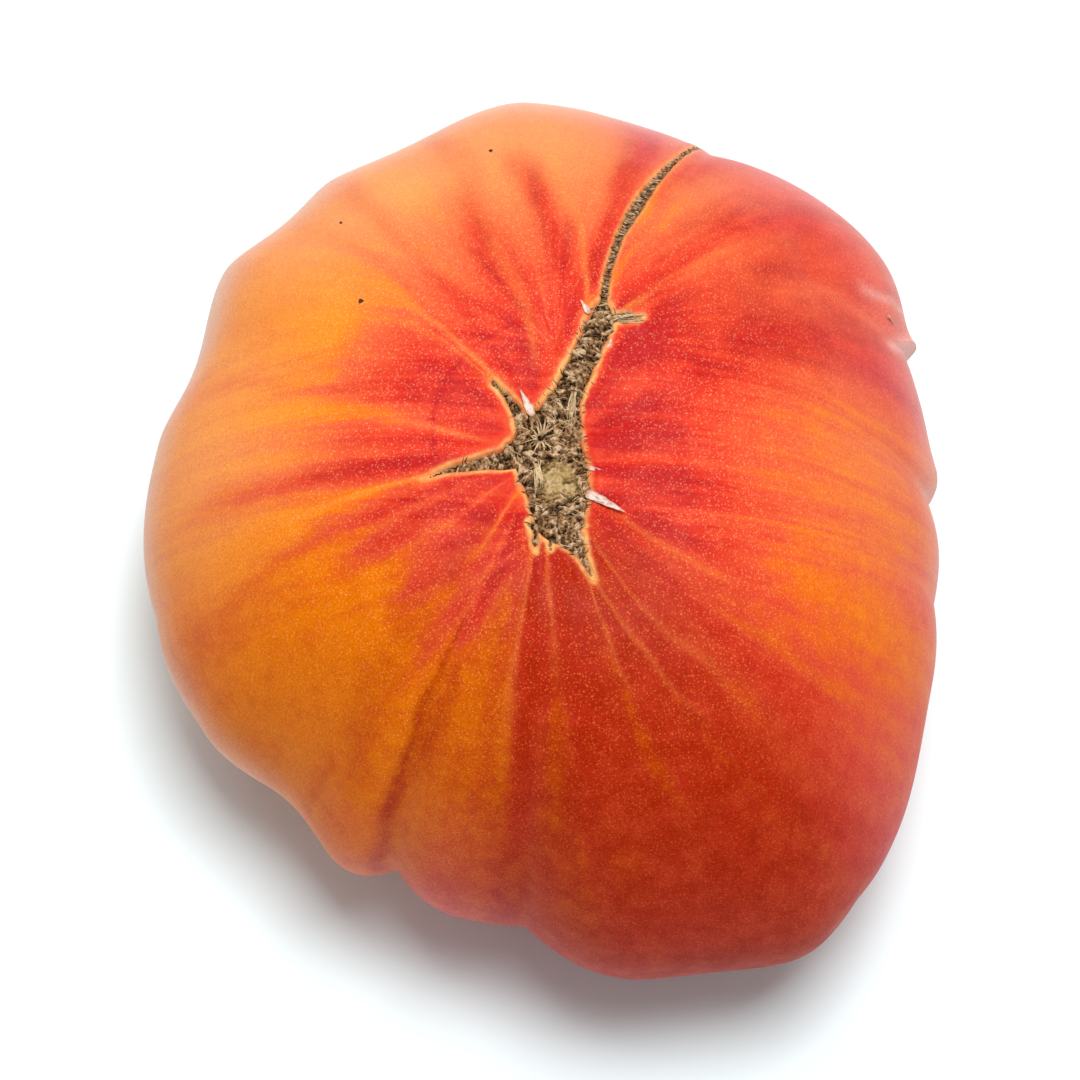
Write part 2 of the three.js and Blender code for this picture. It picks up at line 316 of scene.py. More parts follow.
@dataclass(frozen=True)
class FruitForm:
    """The bare form of the fruit: lobes and valleys, without the relief of its scars."""

    rim_radii: tuple[float, ...] = (
        52.5, 54.0, 60.4, 60.5, 60.8, 62.5, 58.7, 57.6, 53.9,
        53.5, 53.0, 51.7, 51.8, 51.6, 59.0, 65.0, 60.7, 55.0,
    )
    section: tuple[Span, ...] = (
        (0.0, 66.6), (0.1, 67.2), (0.22, 68.0), (0.38, 67.6), (0.55, 64.4), (0.7, 59.2), (0.83, 52.0),
        (0.93, 43.6), (0.99, 34.5), (0.995, 25.5), (0.94, 16.0), (0.84, 7.8), (0.7, 2.0), (0.56, -0.9),
        (0.43, -0.8), (0.31, 2.6), (0.2, 6.6), (0.1, 9.6), (0.0, 10.4),
    )
    valleys: tuple[Valley, ...] = VALLEYS
    valleys_start: float = 0.18
    valleys_full: float = 0.48
    stem_start: float = 0.07
    stem_fade: float = 0.27
    low_start: float = 0.45
    low_full: float = 0.65
    low_extra: float = 0.4
    lean_at: float = 29.0
    lean_per_section: float = -150.0
    lean_level: float = 0.4
    lean_most: float = 12.0
    lean_reach: float = 18.0
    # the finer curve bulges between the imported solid's facets, so it is drawn in a little
    fit: float = 0.9955

    def valley_depth(self, degrees: Array, along: Array) -> Array:
        """Returns how deep the valleys cut in at an azimuth and a place along the section.

        Args:
            degrees: azimuths, in degrees.
            along: places along the section.

        Returns:
            The depth in millimetres.
        """
        low = np.clip((along - self.low_start) / (self.low_full - self.low_start), 0.0, 1.0)
        depth = np.zeros(np.shape(degrees))
        for valley in self.valleys:
            beside = np.clip(np.abs(turn(degrees, valley.at)) / valley.half, 0.0, 1.0)
            kept = valley.above + (1.0 - valley.above) * low
            depth += valley.depth * (1.0 - beside**valley.bottom.value) ** 2 * kept
        rise = ease(along, self.valleys_start, self.valleys_full)
        fall = ease(1.0 - along, self.stem_start, self.stem_fade)
        return depth * rise * fall * (1.0 + self.low_extra * low)

    def step_height(self, degrees: Array, along: Array) -> Array:
        """Returns how far the proud side of a stepped valley stands out.

        Args:
            degrees: azimuths, in degrees.
            along: places along the section.

        Returns:
            The height in millimetres.
        """
        height = np.zeros(np.shape(degrees))
        for valley in self.valleys:
            step = valley.step
            if step is None:
                continue
            beside = turn(degrees, valley.at) / valley.half
            rounded = np.sqrt(np.clip(beside / step.shoulder, 0.0, 1.0)) if step.shoulder else 1.0
            kept = ease(along, step.begins, step.full) * (1.0 - ease(along, step.fades, step.ends))
            proud = step.height * kept * rounded
            height += np.where(beside >= 0.0, proud * np.clip(1.0 - beside, 0.0, 1.0) ** step.taper, 0.0)
        return height

    def azimuth(self, degrees: Array, along: Array) -> Array:
        """Returns a column's azimuth in radians once the lobes beside the folded seam lean.

        Args:
            degrees: azimuths, in degrees.
            along: places along the section.

        Returns:
            The azimuths in radians.
        """
        lean = np.clip(self.lean_per_section * (along - self.lean_level), 0.0, self.lean_most)
        near = np.exp(-((turn(degrees, self.lean_at) / self.lean_reach) ** 2))
        return np.radians(degrees + lean * near)

    def surface(self, degrees: Array, along: Array) -> tuple[Array, Array]:
        """Places points of the bare form.

        Args:
            degrees: each point's column, as an azimuth in degrees.
            along: each point's place along the section, from 0 at the blossom scar to 1 at the stalk's.

        Returns:
            The points and their outward directions, each with a last axis of x, y and z.
        """
        section = np.array(self.section)
        rim = spline(np.array(self.rim_radii), degrees / 360.0, closed=True)
        nudge = 1e-3
        here = spline(section, along)
        ahead = spline(section, np.clip(along + nudge, 0.0, 1.0))
        behind = spline(section, np.clip(along - nudge, 0.0, 1.0))
        run, climb = (ahead - behind)[..., 0] * rim, (ahead - behind)[..., 1]
        length = np.hypot(run, climb)
        out, up = -climb / length, run / length
        azimuth = self.azimuth(degrees, along)
        lift = self.step_height(degrees, along) - self.valley_depth(degrees, along)
        radius = self.fit * (here[..., 0] * rim + lift * out)
        east, north = np.cos(azimuth), np.sin(azimuth)
        points = np.stack([radius * east, radius * north, here[..., 1] + lift * up], axis=-1)
        outward = np.stack([out * east, out * north, up], axis=-1)
        return points, outward


@dataclass
class Terrain:
    """Looks up the top of the bare form by place on the plan."""

    form: FruitForm
    columns: int = 360
    rows: int = 260
    reach: float = 0.5
    margin: float = 0.5
    _radii: Array = field(init=False, repr=False)
    _heights: Array = field(init=False, repr=False)

    def __post_init__(self) -> None:
        """Measures the form on a fine net of columns and rows, down to the rim."""
        degrees = np.arange(self.columns) * 360.0 / self.columns
        along = np.linspace(0.0, self.reach, self.rows)
        points, _ = self.form.surface(*np.meshgrid(degrees, along, indexing="ij"))
        self._radii = np.maximum.accumulate(np.hypot(points[..., 0], points[..., 1]), axis=1)
        self._heights = points[..., 2]

    def height(self, x: Array, y: Array) -> Array:
        """Returns the height of the bare form above the resting plane at each place.

        Args:
            x: places along X.
            y: places along Y.

        Returns:
            The heights in millimetres.
        """
        radius = np.hypot(x, y).ravel()
        column = np.mod(np.degrees(np.arctan2(y, x)).ravel() * self.columns / 360.0, self.columns)
        first = np.floor(column).astype(int) % self.columns
        share = column - np.floor(column)
        heights = np.zeros(radius.shape)
        for index in np.unique(first):
            here = first == index
            after = (index + 1) % self.columns
            near = np.interp(radius[here], self._radii[index], self._heights[index])
            far = np.interp(radius[here], self._radii[after], self._heights[after])
            heights[here] = near * (1.0 - share[here]) + far * share[here]
        return heights.reshape(np.shape(x))

    def covers(self, x: Array, y: Array) -> Array:
        """Says whether places of the plan lie well inside the rim.

        Args:
            x: places along X.
            y: places along Y.

        Returns:
            True where they do.
        """
        column = np.degrees(np.arctan2(y, x)) * self.columns / 360.0
        rim = np.interp(column, np.arange(self.columns), self._radii[:, -1], period=self.columns)
        return np.hypot(x, y) < rim - self.margin

    def place(self, x: Array, y: Array, lift: Array) -> Array:
        """Puts points on the form.

        Args:
            x: places along X.
            y: places along Y.
            lift: how far each point stands off the bare form, along its outward direction.

        Returns:
            The points, with a last axis of x, y and z.
        """
        nudge = 0.1
        height = self.height(x, y)
        slope_x = (self.height(x + nudge, y) - self.height(x - nudge, y)) / (2 * nudge)
        slope_y = (self.height(x, y + nudge) - self.height(x, y - nudge)) / (2 * nudge)
        off = lift / np.sqrt(slope_x**2 + slope_y**2 + 1.0)
        return np.stack([x - off * slope_x, y - off * slope_y, height + off], axis=-1)


@dataclass(frozen=True)
class ScarPlan:
    """Where the cork scar, its zipper, the puckers and the flakes lie on the plan."""

    branches: tuple[Chain, ...] = (
        ((0.4, 2.4, 4.3), (0.4, -0.6, 4.8), (1.4, -4.6, 4.2), (1.7, -8.8, 3.4), (3.1, -11.2, 1.9),
         (4.4, -13.4, 0.9), (5.9, -16.8, 0.35)),
        ((1.0, 3.6, 3.6), (2.9, 8.0, 2.1), (4.9, 12.4, 2.0), (6.6, 16.4, 2.1), (7.1, 19.0, 1.4)),
        ((-1.6, 0.6, 3.5), (-5.2, -0.8, 1.6), (-8.6, -1.6, 1.1), (-12.0, -2.4, 0.7), (-15.2, -3.6, 0.3)),
        ((-2.0, 2.6, 2.0), (-3.5, 5.4, 1.0), (-4.8, 7.4, 0.7), (-6.6, 9.2, 0.5)),
        ((7.1, 17.6, 1.3), (9.4, 17.7, 0.8), (12.2, 17.8, 0.3)),
        ((-1.3, -9.4, 1.0), (-1.3, -13.0, 0.3)),
        ((0.5, -9.6, 1.0), (0.5, -12.6, 0.3)),
    )
    zipper: Chain = (
        (7.2, 19.4, 0.62), (7.9, 24.4, 0.55), (9.4, 29.8, 0.62), (11.7, 35.0, 0.95), (13.2, 38.3, 0.78),
        (16.8, 45.0, 0.42), (20.2, 51.4, 0.3), (23.6, 57.6, 0.22),
    )
    puckers: tuple[Chain, ...] = (
        ((6.8, 20.4), (5.4, 24.2), (3.8, 28.9), (1.9, 36.6)),
        ((1.2, 13.3), (-2.0, 17.8), (-5.2, 25.8), (-8.3, 35.9)),
        ((-7.1, 8.8), (-12.0, 12.2), (-19.1, 16.0), (-27.3, 20.6)),
        ((-7.6, 1.2), (-13.1, 2.8), (-18.2, 3.7), (-27.1, 5.0)),
        ((-14.5, -3.3), (-17.4, -4.5), (-25.6, -5.7), (-37.3, -7.2)),
        ((-3.7, -5.0), (-7.6, -10.5), (-13.2, -17.9)),
        ((-1.3, -12.5), (-2.5, -17.6), (-4.2, -24.0), (-5.2, -30.9)),
        ((0.4, -12.2), (0.8, -18.6), (1.3, -24.2), (1.9, -31.2)),
        ((6.3, -16.9), (8.2, -22.6), (11.6, -30.3), (16.6, -39.0)),
        ((6.8, -15.9), (9.2, -19.2), (16.7, -29.0), (26.6, -37.2)),
        ((6.3, -13.4), (11.6, -17.5), (19.0, -23.9), (31.6, -29.5)),
        ((6.8, -6.3), (14.1, -11.7), (22.7, -15.0), (31.8, -16.2)),
        ((5.4, -1.4), (10.8, -0.5), (18.6, -0.2)),
        ((4.4, 2.6), (8.1, 3.7), (13.2, 4.6)),
        ((8.4, 19.7), (14.9, 23.0), (22.4, 29.2), (31.8, 35.9)),
    )
    star: Span = (-0.6, 2.2)
    star_radius: float = 2.6
    patch: Span = (1.5, -3.6)
    patch_radius: float = 3.1
    raggedness: float = 0.2
    ragged_length: float = 0.9
    smoother: float = 0.75  # how much less ragged the thin branches are
    zipper_raggedness: float = 0.09
    ragged: Unevenness = Unevenness(11)

    def cork_distance(self, x: Array, y: Array) -> Array:
        """Returns the distance to the cork's ragged outline, below 0 inside it.

        Args:
            x: places along X.
            y: places along Y.

        Returns:
            The distance in millimetres.
        """
        nearest = np.min([chain_distance(x, y, chain) for chain in self.branches], axis=0)
        left_branch, lower_tip = ease(0.3 * y - x, 4.5, 6.5), ease(-y, 12.0, 15.0)
        thin = np.maximum(left_branch, lower_tip)
        noise = self.ragged.rough(x, y, self.ragged_length)
        return nearest + self.raggedness * (1.0 - self.smoother * thin) * noise

    def zipper_distance(self, x: Array, y: Array) -> Array:
        """Returns the distance to the zipper's outline, below 0 inside it."""
        noise = self.ragged.rough(x + 50.0, y, 0.7)
        return chain_distance(x, y, self.zipper) + self.zipper_raggedness * noise

    def pucker_distance(self, x: Array, y: Array) -> Array:
        """Returns the distance to the nearest of the radiating seams."""
        return np.min([chain_distance(x, y, chain) for chain in self.puckers], axis=0)

    def flow(self, x: Array, y: Array, zipper_only: bool = False) -> tuple[Array, Array]:
        """Finds how far along and beside the nearest branch each place lies.

        Args:
            x: places along X.
            y: places along Y.
            zipper_only: whether only the zipper is looked at.

        Returns:
            The distance along the branch, and the signed distance beside it.
        """
        best, along, across = (np.full(np.shape(x), value) for value in (np.inf, 0.0, 0.0))
        for chain in (self.zipper,) if zipper_only else (*self.branches, self.zipper):
            for gap, way, beside in chain_gaps(x, y, chain):
                nearer = gap < best
                along = np.where(nearer, way, along)
                across = np.where(nearer, beside, across)
                best = np.minimum(best, gap)
        return along, across


@dataclass(frozen=True)
class Relief:
    """Heights and depths of the skin round the scars."""

    plan: ScarPlan
    bed_depth: float = 1.15
    bed_slope: float = 0.9
    lip_height: float = 0.3
    lip_distance: float = 0.9
    lip_width: float = 0.8
    zipper_depth: float = 0.6
    zipper_slope: Span = (-0.1, 0.4)
    zipper_lip: float = 0.3
    pucker_depth: float = 0.45
    pucker_width: float = 0.6
    pucker_widens: float = 0.035
    pucker_reach: float = 36.0
    swell: float = 0.12
    swell_fade: Span = (8.0, 40.0)
    swell_length: float = 3.5
    uneven: Unevenness = Unevenness(3)

    def lift(self, x: Array, y: Array) -> Array:
        """Returns how far the skin stands off the bare form at each place of the plan.

        Args:
            x: places along X.
            y: places along Y.

        Returns:
            The lift in millimetres.
        """
        cork = self.plan.cork_distance(x, y)
        zipper = self.plan.zipper_distance(x, y)
        bed = ease(-cork, 0.0, self.bed_slope)
        height = -self.bed_depth * bed
        height -= self.zipper_depth * ease(-zipper, *self.zipper_slope) * (1.0 - bed)
        edge = np.minimum(cork, zipper + self.zipper_lip)
        height += self.lip_height * np.exp(-(((edge - self.lip_distance) / self.lip_width) ** 2))
        distance = np.hypot(x, y)
        width = self.pucker_width + self.pucker_widens * distance
        pucker = np.exp(-((self.plan.pucker_distance(x, y) / width) ** 2))
        height -= self.pucker_depth * pucker * (1.0 - ease(distance, 0.0, self.pucker_reach)) * (1.0 - bed)
        near = 1.0 - ease(distance, *self.swell_fade)
        return height + self.swell * near * self.uneven.rough(x, y, self.swell_length)


class Sum(Enum):
    """What a math node does with its numbers."""

    ADD = "ADD"
    MULTIPLY = "MULTIPLY"
    LARGER = "MAXIMUM"


class Blend(Enum):
    """How one colour goes over another."""

    MIX = "MIX"
    ADD = "ADD"
    MULTIPLY = "MULTIPLY"


@dataclass
class NodeBench:
    """Lays out the nodes of one material."""

    name: str
    material: Material = field(init=False)

    def __post_init__(self) -> None:
        """Starts an empty material with a surface shader."""
        self.material = bpy.data.materials.new(self.name)
        self.material.use_nodes = True
        self.tree = self.material.node_tree
        self.tree.nodes.clear()
        self.shader = self.tree.nodes.new("ShaderNodeBsdfPrincipled")
        output = self.tree.nodes.new("ShaderNodeOutputMaterial")
        self.tree.links.new(self.shader.outputs[0], output.inputs["Surface"])

    def feed(self, socket: Socket, value: object) -> None:
        """Links a socket to another socket, or sets its value.

        Args:
            socket: the socket.
            value: another socket, a number, a colour or a vector.
        """
        if isinstance(value, Socket):
            self.tree.links.new(value, socket)
        elif isinstance(value, tuple) and len(value) == 3 and socket.type == "RGBA":
            socket.default_value = (*value, 1.0)
        else:
            socket.default_value = value

    def attribute(self, name: str, output: str = "Fac") -> Socket:
        """Returns the socket of a mesh attribute.

        Args:
            name: the attribute's name.
            output: which of the node's outputs.

        Returns:
            The socket.
        """
        node = self.tree.nodes.new("ShaderNodeAttribute")
        node.attribute_name = name
        return node.outputs[output]

    def place(self) -> Socket:
        """Returns the point's place on the object, in metres."""
        return self.tree.nodes.new("ShaderNodeTexCoord").outputs["Object"]

    def math(self, kind: Sum, first: object, second: object) -> Socket:
        """Returns the result of one sum on two numbers.

        Args:
            kind: what is done.
            first: a number or a socket.
            second: a number or a socket.

        Returns:
            The socket of the result.
        """
        node = self.tree.nodes.new("ShaderNodeMath")
        node.operation = kind.value
        for socket, value in zip(node.inputs, (first, second)):
            self.feed(socket, value)
        return node.outputs[0]

    def plus(self, first: object, second: object) -> Socket:
        """Returns two numbers added."""
        return self.math(Sum.ADD, first, second)

    def times(self, first: object, second: object) -> Socket:
        """Returns two numbers multiplied."""
        return self.math(Sum.MULTIPLY, first, second)

    def band(self, value: object, low: float, high: float, start: float = 0.0, end: object = 1.0) -> Socket:
        """Maps a value smoothly from low..high to start..end.

        Args:
            value: a number or a socket.
            low: where the rise starts.
            high: where it ends.
            start: the result up to there.
            end: the result from there on.

        Returns:
            The socket of the result.
        """
        node = self.tree.nodes.new("ShaderNodeMapRange")
        node.interpolation_type = "SMOOTHSTEP"
        names = ("Value", "From Min", "From Max", "To Min", "To Max")
        for name, given in zip(names, (value, low, high, start, end)):
            self.feed(node.inputs[name], given)
        return node.outputs["Result"]

    def mix(self, share: object, first: object, second: object, kind: Blend = Blend.MIX) -> Socket:
        """Lays the second colour over the first.

        Args:
            share: how much of it shows.
            first: the colour below.
            second: the colour over it.
            kind: how it goes over.

        Returns:
            The socket of the colour.
        """
        node = self.tree.nodes.new("ShaderNodeMix")
        node.data_type = "RGBA"
        node.blend_type = kind.value
        self.feed(node.inputs["Factor"], share)
        for name, value in (("A_Color", first), ("B_Color", second)):
            socket = next(s for s in node.inputs if s.identifier == name)
            self.feed(socket, value)
        return next(s for s in node.outputs if s.identifier == "Result_Color")

    def ramp(self, value: object, stops: tuple[tuple[float, Colour], ...]) -> Socket:
        """Turns a value into a colour by a row of stops.

        Args:
            value: a number or a socket.
            stops: places from 0 to 1, each with its colour.

        Returns:
            The socket of the colour.
        """
        node = self.tree.nodes.new("ShaderNodeValToRGB")
        elements = node.color_ramp.elements
        while len(elements) < len(stops):
            elements.new(0.5)
        for element, (place, colour) in zip(elements, stops):
            element.position = place
            element.color = (*colour, 1.0)
        self.feed(node.inputs[0], value)
        return node.outputs["Color"]

    def noise(self, vector: object, scale: float, detail: float, roughness: float = 0.55) -> Socket:
        """Returns smooth noise from 0 to 1.

        Args:
            vector: the socket of the place where it is read.
            scale: how many bumps or cells a metre has.
            detail: how many octaves it has.
            roughness: how strong the finer octaves are.

        Returns:
            The socket of the noise.
        """
        node = self.tree.nodes.new("ShaderNodeTexNoise")
        names = ("Vector", "Scale", "Detail", "Roughness")
        for name, given in zip(names, (vector, scale, detail, roughness)):
            self.feed(node.inputs[name], given)
        return node.outputs["Fac"]

    def cells(self, vector: object, scale: float) -> tuple[Socket, Socket]:
        """Returns the distance to the nearest of scattered points, and that point's random colour.

        Args:
            vector: the socket of the place where it is read.
            scale: how many bumps or cells a metre has.

        Returns:
            The sockets of the distance and the colour.
        """
        node = self.tree.nodes.new("ShaderNodeTexVoronoi")
        self.feed(node.inputs["Vector"], vector)
        node.inputs["Scale"].default_value = scale
        return node.outputs["Distance"], node.outputs["Color"]

    def scatter(self, vector: object, scale: float, distance: float) -> Socket:
        """Returns a place shifted a little at random, so that what is drawn there gets a ragged outline.

        Args:
            vector: the socket of the place where it is read.
            scale: how many bumps or cells a metre has.
            distance: how far it goes, in metres.

        Returns:
            The socket of the place.
        """
        node = self.tree.nodes.new("ShaderNodeTexNoise")
        self.feed(node.inputs["Vector"], vector)
        node.inputs["Scale"].default_value = scale
        shift = self.tree.nodes.new("ShaderNodeVectorMath")
        shift.operation = "MULTIPLY_ADD"
        self.feed(shift.inputs[0], node.outputs["Color"])
        shift.inputs[1].default_value = (distance, distance, distance)
        self.feed(shift.inputs[2], vector)
        return shift.outputs[0]

    def bump(self, height: object, strength: float, distance: float) -> None:
        """Gives the shader a fine relief.

        Args:
            height: the socket of the relief.
            strength: how much of it shows.
            distance: how far it goes, in metres.
        """
        node = self.tree.nodes.new("ShaderNodeBump")
        node.inputs["Strength"].default_value = strength
        node.inputs["Distance"].default_value = distance
        self.feed(node.inputs["Height"], height)
        self.tree.links.new(node.outputs["Normal"], self.shader.inputs["Normal"])

    def set(self, **values: object) -> None:
        """Sets the shader's sockets, named with underscores for spaces."""
        for name, value in values.items():
            self.feed(self.shader.inputs[name.replace("_", " ")], value)


def build_mesh(name: str, points: Array, faces: Faces, material: Material) -> Piece:
    """Makes a smooth mesh object in the part's frame.

    Args:
        name: the piece's name.
        points: rows of x, y and z in millimetres from the scar's middle.
        faces: the corners of each face.
        material: its finish.

    Returns:
        The object, which rides on the part.
    """
    moved = (points + np.array([*SCAR_PLACE, 0.0])) * MM
    mesh = bpy.data.meshes.new(name)
    mesh.from_pydata(moved.tolist(), [], faces)
    mesh.polygons.foreach_set("use_smooth", [True] * len(mesh.polygons))
    mesh.update()
    mesh.materials.append(material)
    piece = bpy.data.objects.new(name, mesh)
    bpy.context.scene.collection.objects.link(piece)
    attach(piece, "root")
    return piece


def add_values(piece: Piece, name: str, values: Array) -> None:
    """Gives each point of a piece a number, or three, for its finish to read.

    Args:
        piece: the piece.
        name: what the finish reads them by.
        values: one number, or one row of three, for each point.
    """
    kind = "FLOAT" if values.ndim == 1 else "FLOAT_VECTOR"
    attribute = piece.data.attributes.new(name, kind, "POINT")
    attribute.data.foreach_set("value" if kind == "FLOAT" else "vector", values.astype(np.float32).ravel())


STREAK_LEAD = (3.0, 1.5)  # how far before and after its start a streak takes to appear, in millimetres
STREAK_TAIL = 0.45  # the share of a streak's length that it fades out over


class Tint(Enum):
    """What a streak does to the skin's colour."""

    RED = "red"
    GOLD = "gold"
    PALE = "pale"
    # partly the skin's own dark streaks, partly painted shade in the front valleys and on the front slopes
    DARK_AND_PAINTED_SHADE = "dark"
    # painted sheen: pink reflection streaks at the rims, and light on the fold's shaded wall
    PAINTED_SHEEN = "pink"
    # painted light: the pale reflection of the white surround on the rims, and light on the fold's shaded
    # wall
    PAINTED_PALE_LIGHT = "pearl"


@dataclass(frozen=True)
class Streak:
    """One streak of colour that runs out from the scar.

    The azimuths are in degrees at its inner and outer end, the ends in millimetres along the skin from
    the scar's middle, and the half widths in degrees.
    """

    tint: Tint
    azimuth_in: float
    azimuth_out: float
    start: float
    end: float
    half_in: float
    half_out: float
    strength: float

    def share(self, degrees: Array, arc: Array) -> Array:
        """Returns how strongly the streak colours each point.

        Args:
            degrees: azimuths, in degrees.
            arc: distances along the skin from the scar's middle.

        Returns:
            The strength.
        """
        run = np.clip((arc - self.start) / (self.end - self.start), 0.0, 1.0)
        centre = self.azimuth_in + (self.azimuth_out - self.azimuth_in) * run
        half = self.half_in + (self.half_out - self.half_in) * run
        beside = turn(degrees, centre)
        fade_in = ease(arc, self.start - STREAK_LEAD[0], self.start + STREAK_LEAD[1])
        fade_out = 1.0 - ease(arc, self.end - STREAK_TAIL * (self.end - self.start), self.end)
        return self.strength * np.exp(-((beside / half) ** 2)) * fade_in * fade_out


# each row: azimuth at the inner and outer end, start, end, half width at each end, strength
STREAK_ROWS: dict[Tint, Chain] = {
    Tint.RED: (
        (8, 12, 5, 22, 12, 10, 0.55), (28, 26, 6, 34, 7, 5, 0.35), (50, 50, 7, 30, 9, 6, 0.6),
        (62, 40, 20, 76, 3, 5, 0.6), (64, 62, 21, 34, 2.2, 2.5, 0.4), (70, 56, 40, 84, 2.5, 5, 0.5),
        (32, 14, 30, 84, 4, 6, 0.6), (44, 34, 40, 80, 3, 5, 0.4), (77, 73, 23, 84, 3, 5, 0.8),
        (80, 98, 15, 52, 3.5, 4, 0.65), (98, 110, 8, 46, 8, 6, 0.5), (112, 122, 8, 30, 5, 4, 0.35),
        (104, 109, 30, 86, 2.5, 3, 0.2), (118, 124, 24, 80, 2, 3, 0.2), (128, 131, 20, 70, 1.6, 2.5, 0.15),
        (160, 160, 24, 80, 2, 3, 0.2), (136, 146, 6, 30, 7, 6, 0.3), (152, 156, 6, 30, 6, 5, 0.25),
        (183, 185, 7, 62, 4, 3, 0.5), (174, 176, 7, 34, 3, 2, 0.3), (199, 203, 7, 62, 2.6, 1.8, 0.5),
        (210, 206, 6, 36, 6, 3, 0.3), (226, 224, 6, 34, 5, 3, 0.3), (232, 234, 7, 28, 4, 3, 0.2),
        (242, 240, 7, 28, 3, 2, 0.2), (251, 248, 8, 34, 4, 3, 0.5), (267, 267, 12, 64, 3, 2.5, 0.75),
        (279, 277, 12, 56, 5, 4, 0.7), (290, 300, 18, 74, 1.6, 3, 0.65), (296, 316, 14, 80, 2.6, 3, 0.8),
        (308, 326, 9, 78, 3.5, 3, 0.5), (322, 334, 9, 40, 5, 3, 0.45), (342, 350, 7, 26, 8, 5, 0.4),
        (358, 2, 6, 22, 6, 6, 0.4),
    ),
    Tint.GOLD: (
        (12, 10, 26, 66, 5, 5, 0.12), (38, 30, 40, 72, 2, 2.5, 0.3), (57, 38, 23, 60, 2, 2.5, 0.25),
        (70, 69, 22, 60, 0.8, 1.2, 0.3), (66.5, 63, 27, 50, 2.4, 2, 0.25), (131, 139, 26, 50, 3, 4, 0.25),
        (148, 150, 31, 74, 8, 9, 0.55), (168, 167, 10, 62, 3, 5, 0.35), (222, 222, 24, 44, 4, 4, 0.3),
        (255, 254, 18, 42, 4, 3, 0.5), (191.5, 196, 17, 60, 1.8, 4, 0.6), (205, 206, 14, 58, 2, 5, 0.35),
        (217, 214, 7, 50, 1.6, 5, 0.4), (222, 222, 26, 60, 5, 6, 0.3), (236, 232, 7, 62, 2, 7, 0.45),
        (246, 243, 12, 62, 2, 4, 0.35), (262, 262, 14, 62, 1.2, 2, 0.45), (272, 271, 13, 50, 1.2, 3, 0.35),
        (288, 291, 17, 60, 0.8, 2.0, 0.35), (294, 306, 15, 70, 0.9, 1.6, 0.4), (313, 330, 14, 84, 2, 4, 0.22),
        (334, 342, 12, 62, 3, 6, 0.06),
    ),
    Tint.PALE: (
        (77, 90, 21, 46, 1.0, 0.9, 0.75), (95, 110, 13, 48, 2.0, 1.6, 0.35),
        (122, 139, 9, 38, 1.3, 1.6, 0.7), (127, 140, 12, 30, 1.0, 1.2, 0.4),
        (169, 166, 8, 30, 2.0, 3.0, 0.3), (192, 193, 15, 46, 0.9, 1.0, 0.75),
        (236, 236, 7, 18, 1.0, 1.4, 0.35), (263.5, 262, 13, 46, 0.7, 1.0, 0.4),
        (272, 272, 12, 32, 0.6, 0.7, 0.3), (288, 291, 17, 36, 0.6, 0.7, 0.4),
        (291, 303, 17, 44, 0.6, 0.8, 0.4), (297, 311, 14, 44, 0.8, 0.8, 0.3),
        (316, 326, 13, 34, 1.2, 1.2, 0.35), (62, 50, 21, 40, 1.0, 1.0, 0.4),
        (63, 58, 18, 26, 1.5, 1.5, 0.6),
    ),
    # partly real dark streaks, partly painted shade: thin ones down the front valleys at 246 and 266 degrees,
    # broad ones on the front slopes
    Tint.DARK_AND_PAINTED_SHADE: (
        (246, 245, 24, 90, 0.9, 1.1, 0.5), (265.5, 265, 28, 90, 1.2, 1.1, 0.5), (249, 248, 30, 52, 2, 2, 0.3),
        (284, 284, 40, 66, 7, 8, 0.55), (300, 300, 44, 70, 8, 8, 0.5), (232, 236, 10, 70, 8, 6, 0.25),
    ),
    # painted sheen at the rims, and painted light on the fold's step wall at 28.2 degrees
    Tint.PAINTED_SHEEN: (
        (256, 256, 48, 120, 8, 10, 0.5), (320, 322, 50, 120, 8, 9, 0.5), (240, 240, 56, 100, 5, 6, 0.3),
        (74, 74, 48, 110, 6, 7, 0.45), (55, 53, 46, 110, 7, 9, 0.45), (22, 19, 42, 110, 5, 7, 0.4),
        (350, 356, 54, 110, 7, 8, 0.35), (28.2, 28.2, 64, 130, 1.1, 1.3, 0.6),
    ),
    # painted light on the fold: on the shaded wall of its step and along its crease
    Tint.PAINTED_PALE_LIGHT: (
        (28.2, 28.2, 64, 130, 1.1, 1.3, 0.32), (36.8, 28.4, 62, 84, 0.8, 0.6, 0.24),
    ),
}
STREAKS = tuple(Streak(tint, *row) for tint, rows in STREAK_ROWS.items() for row in rows)


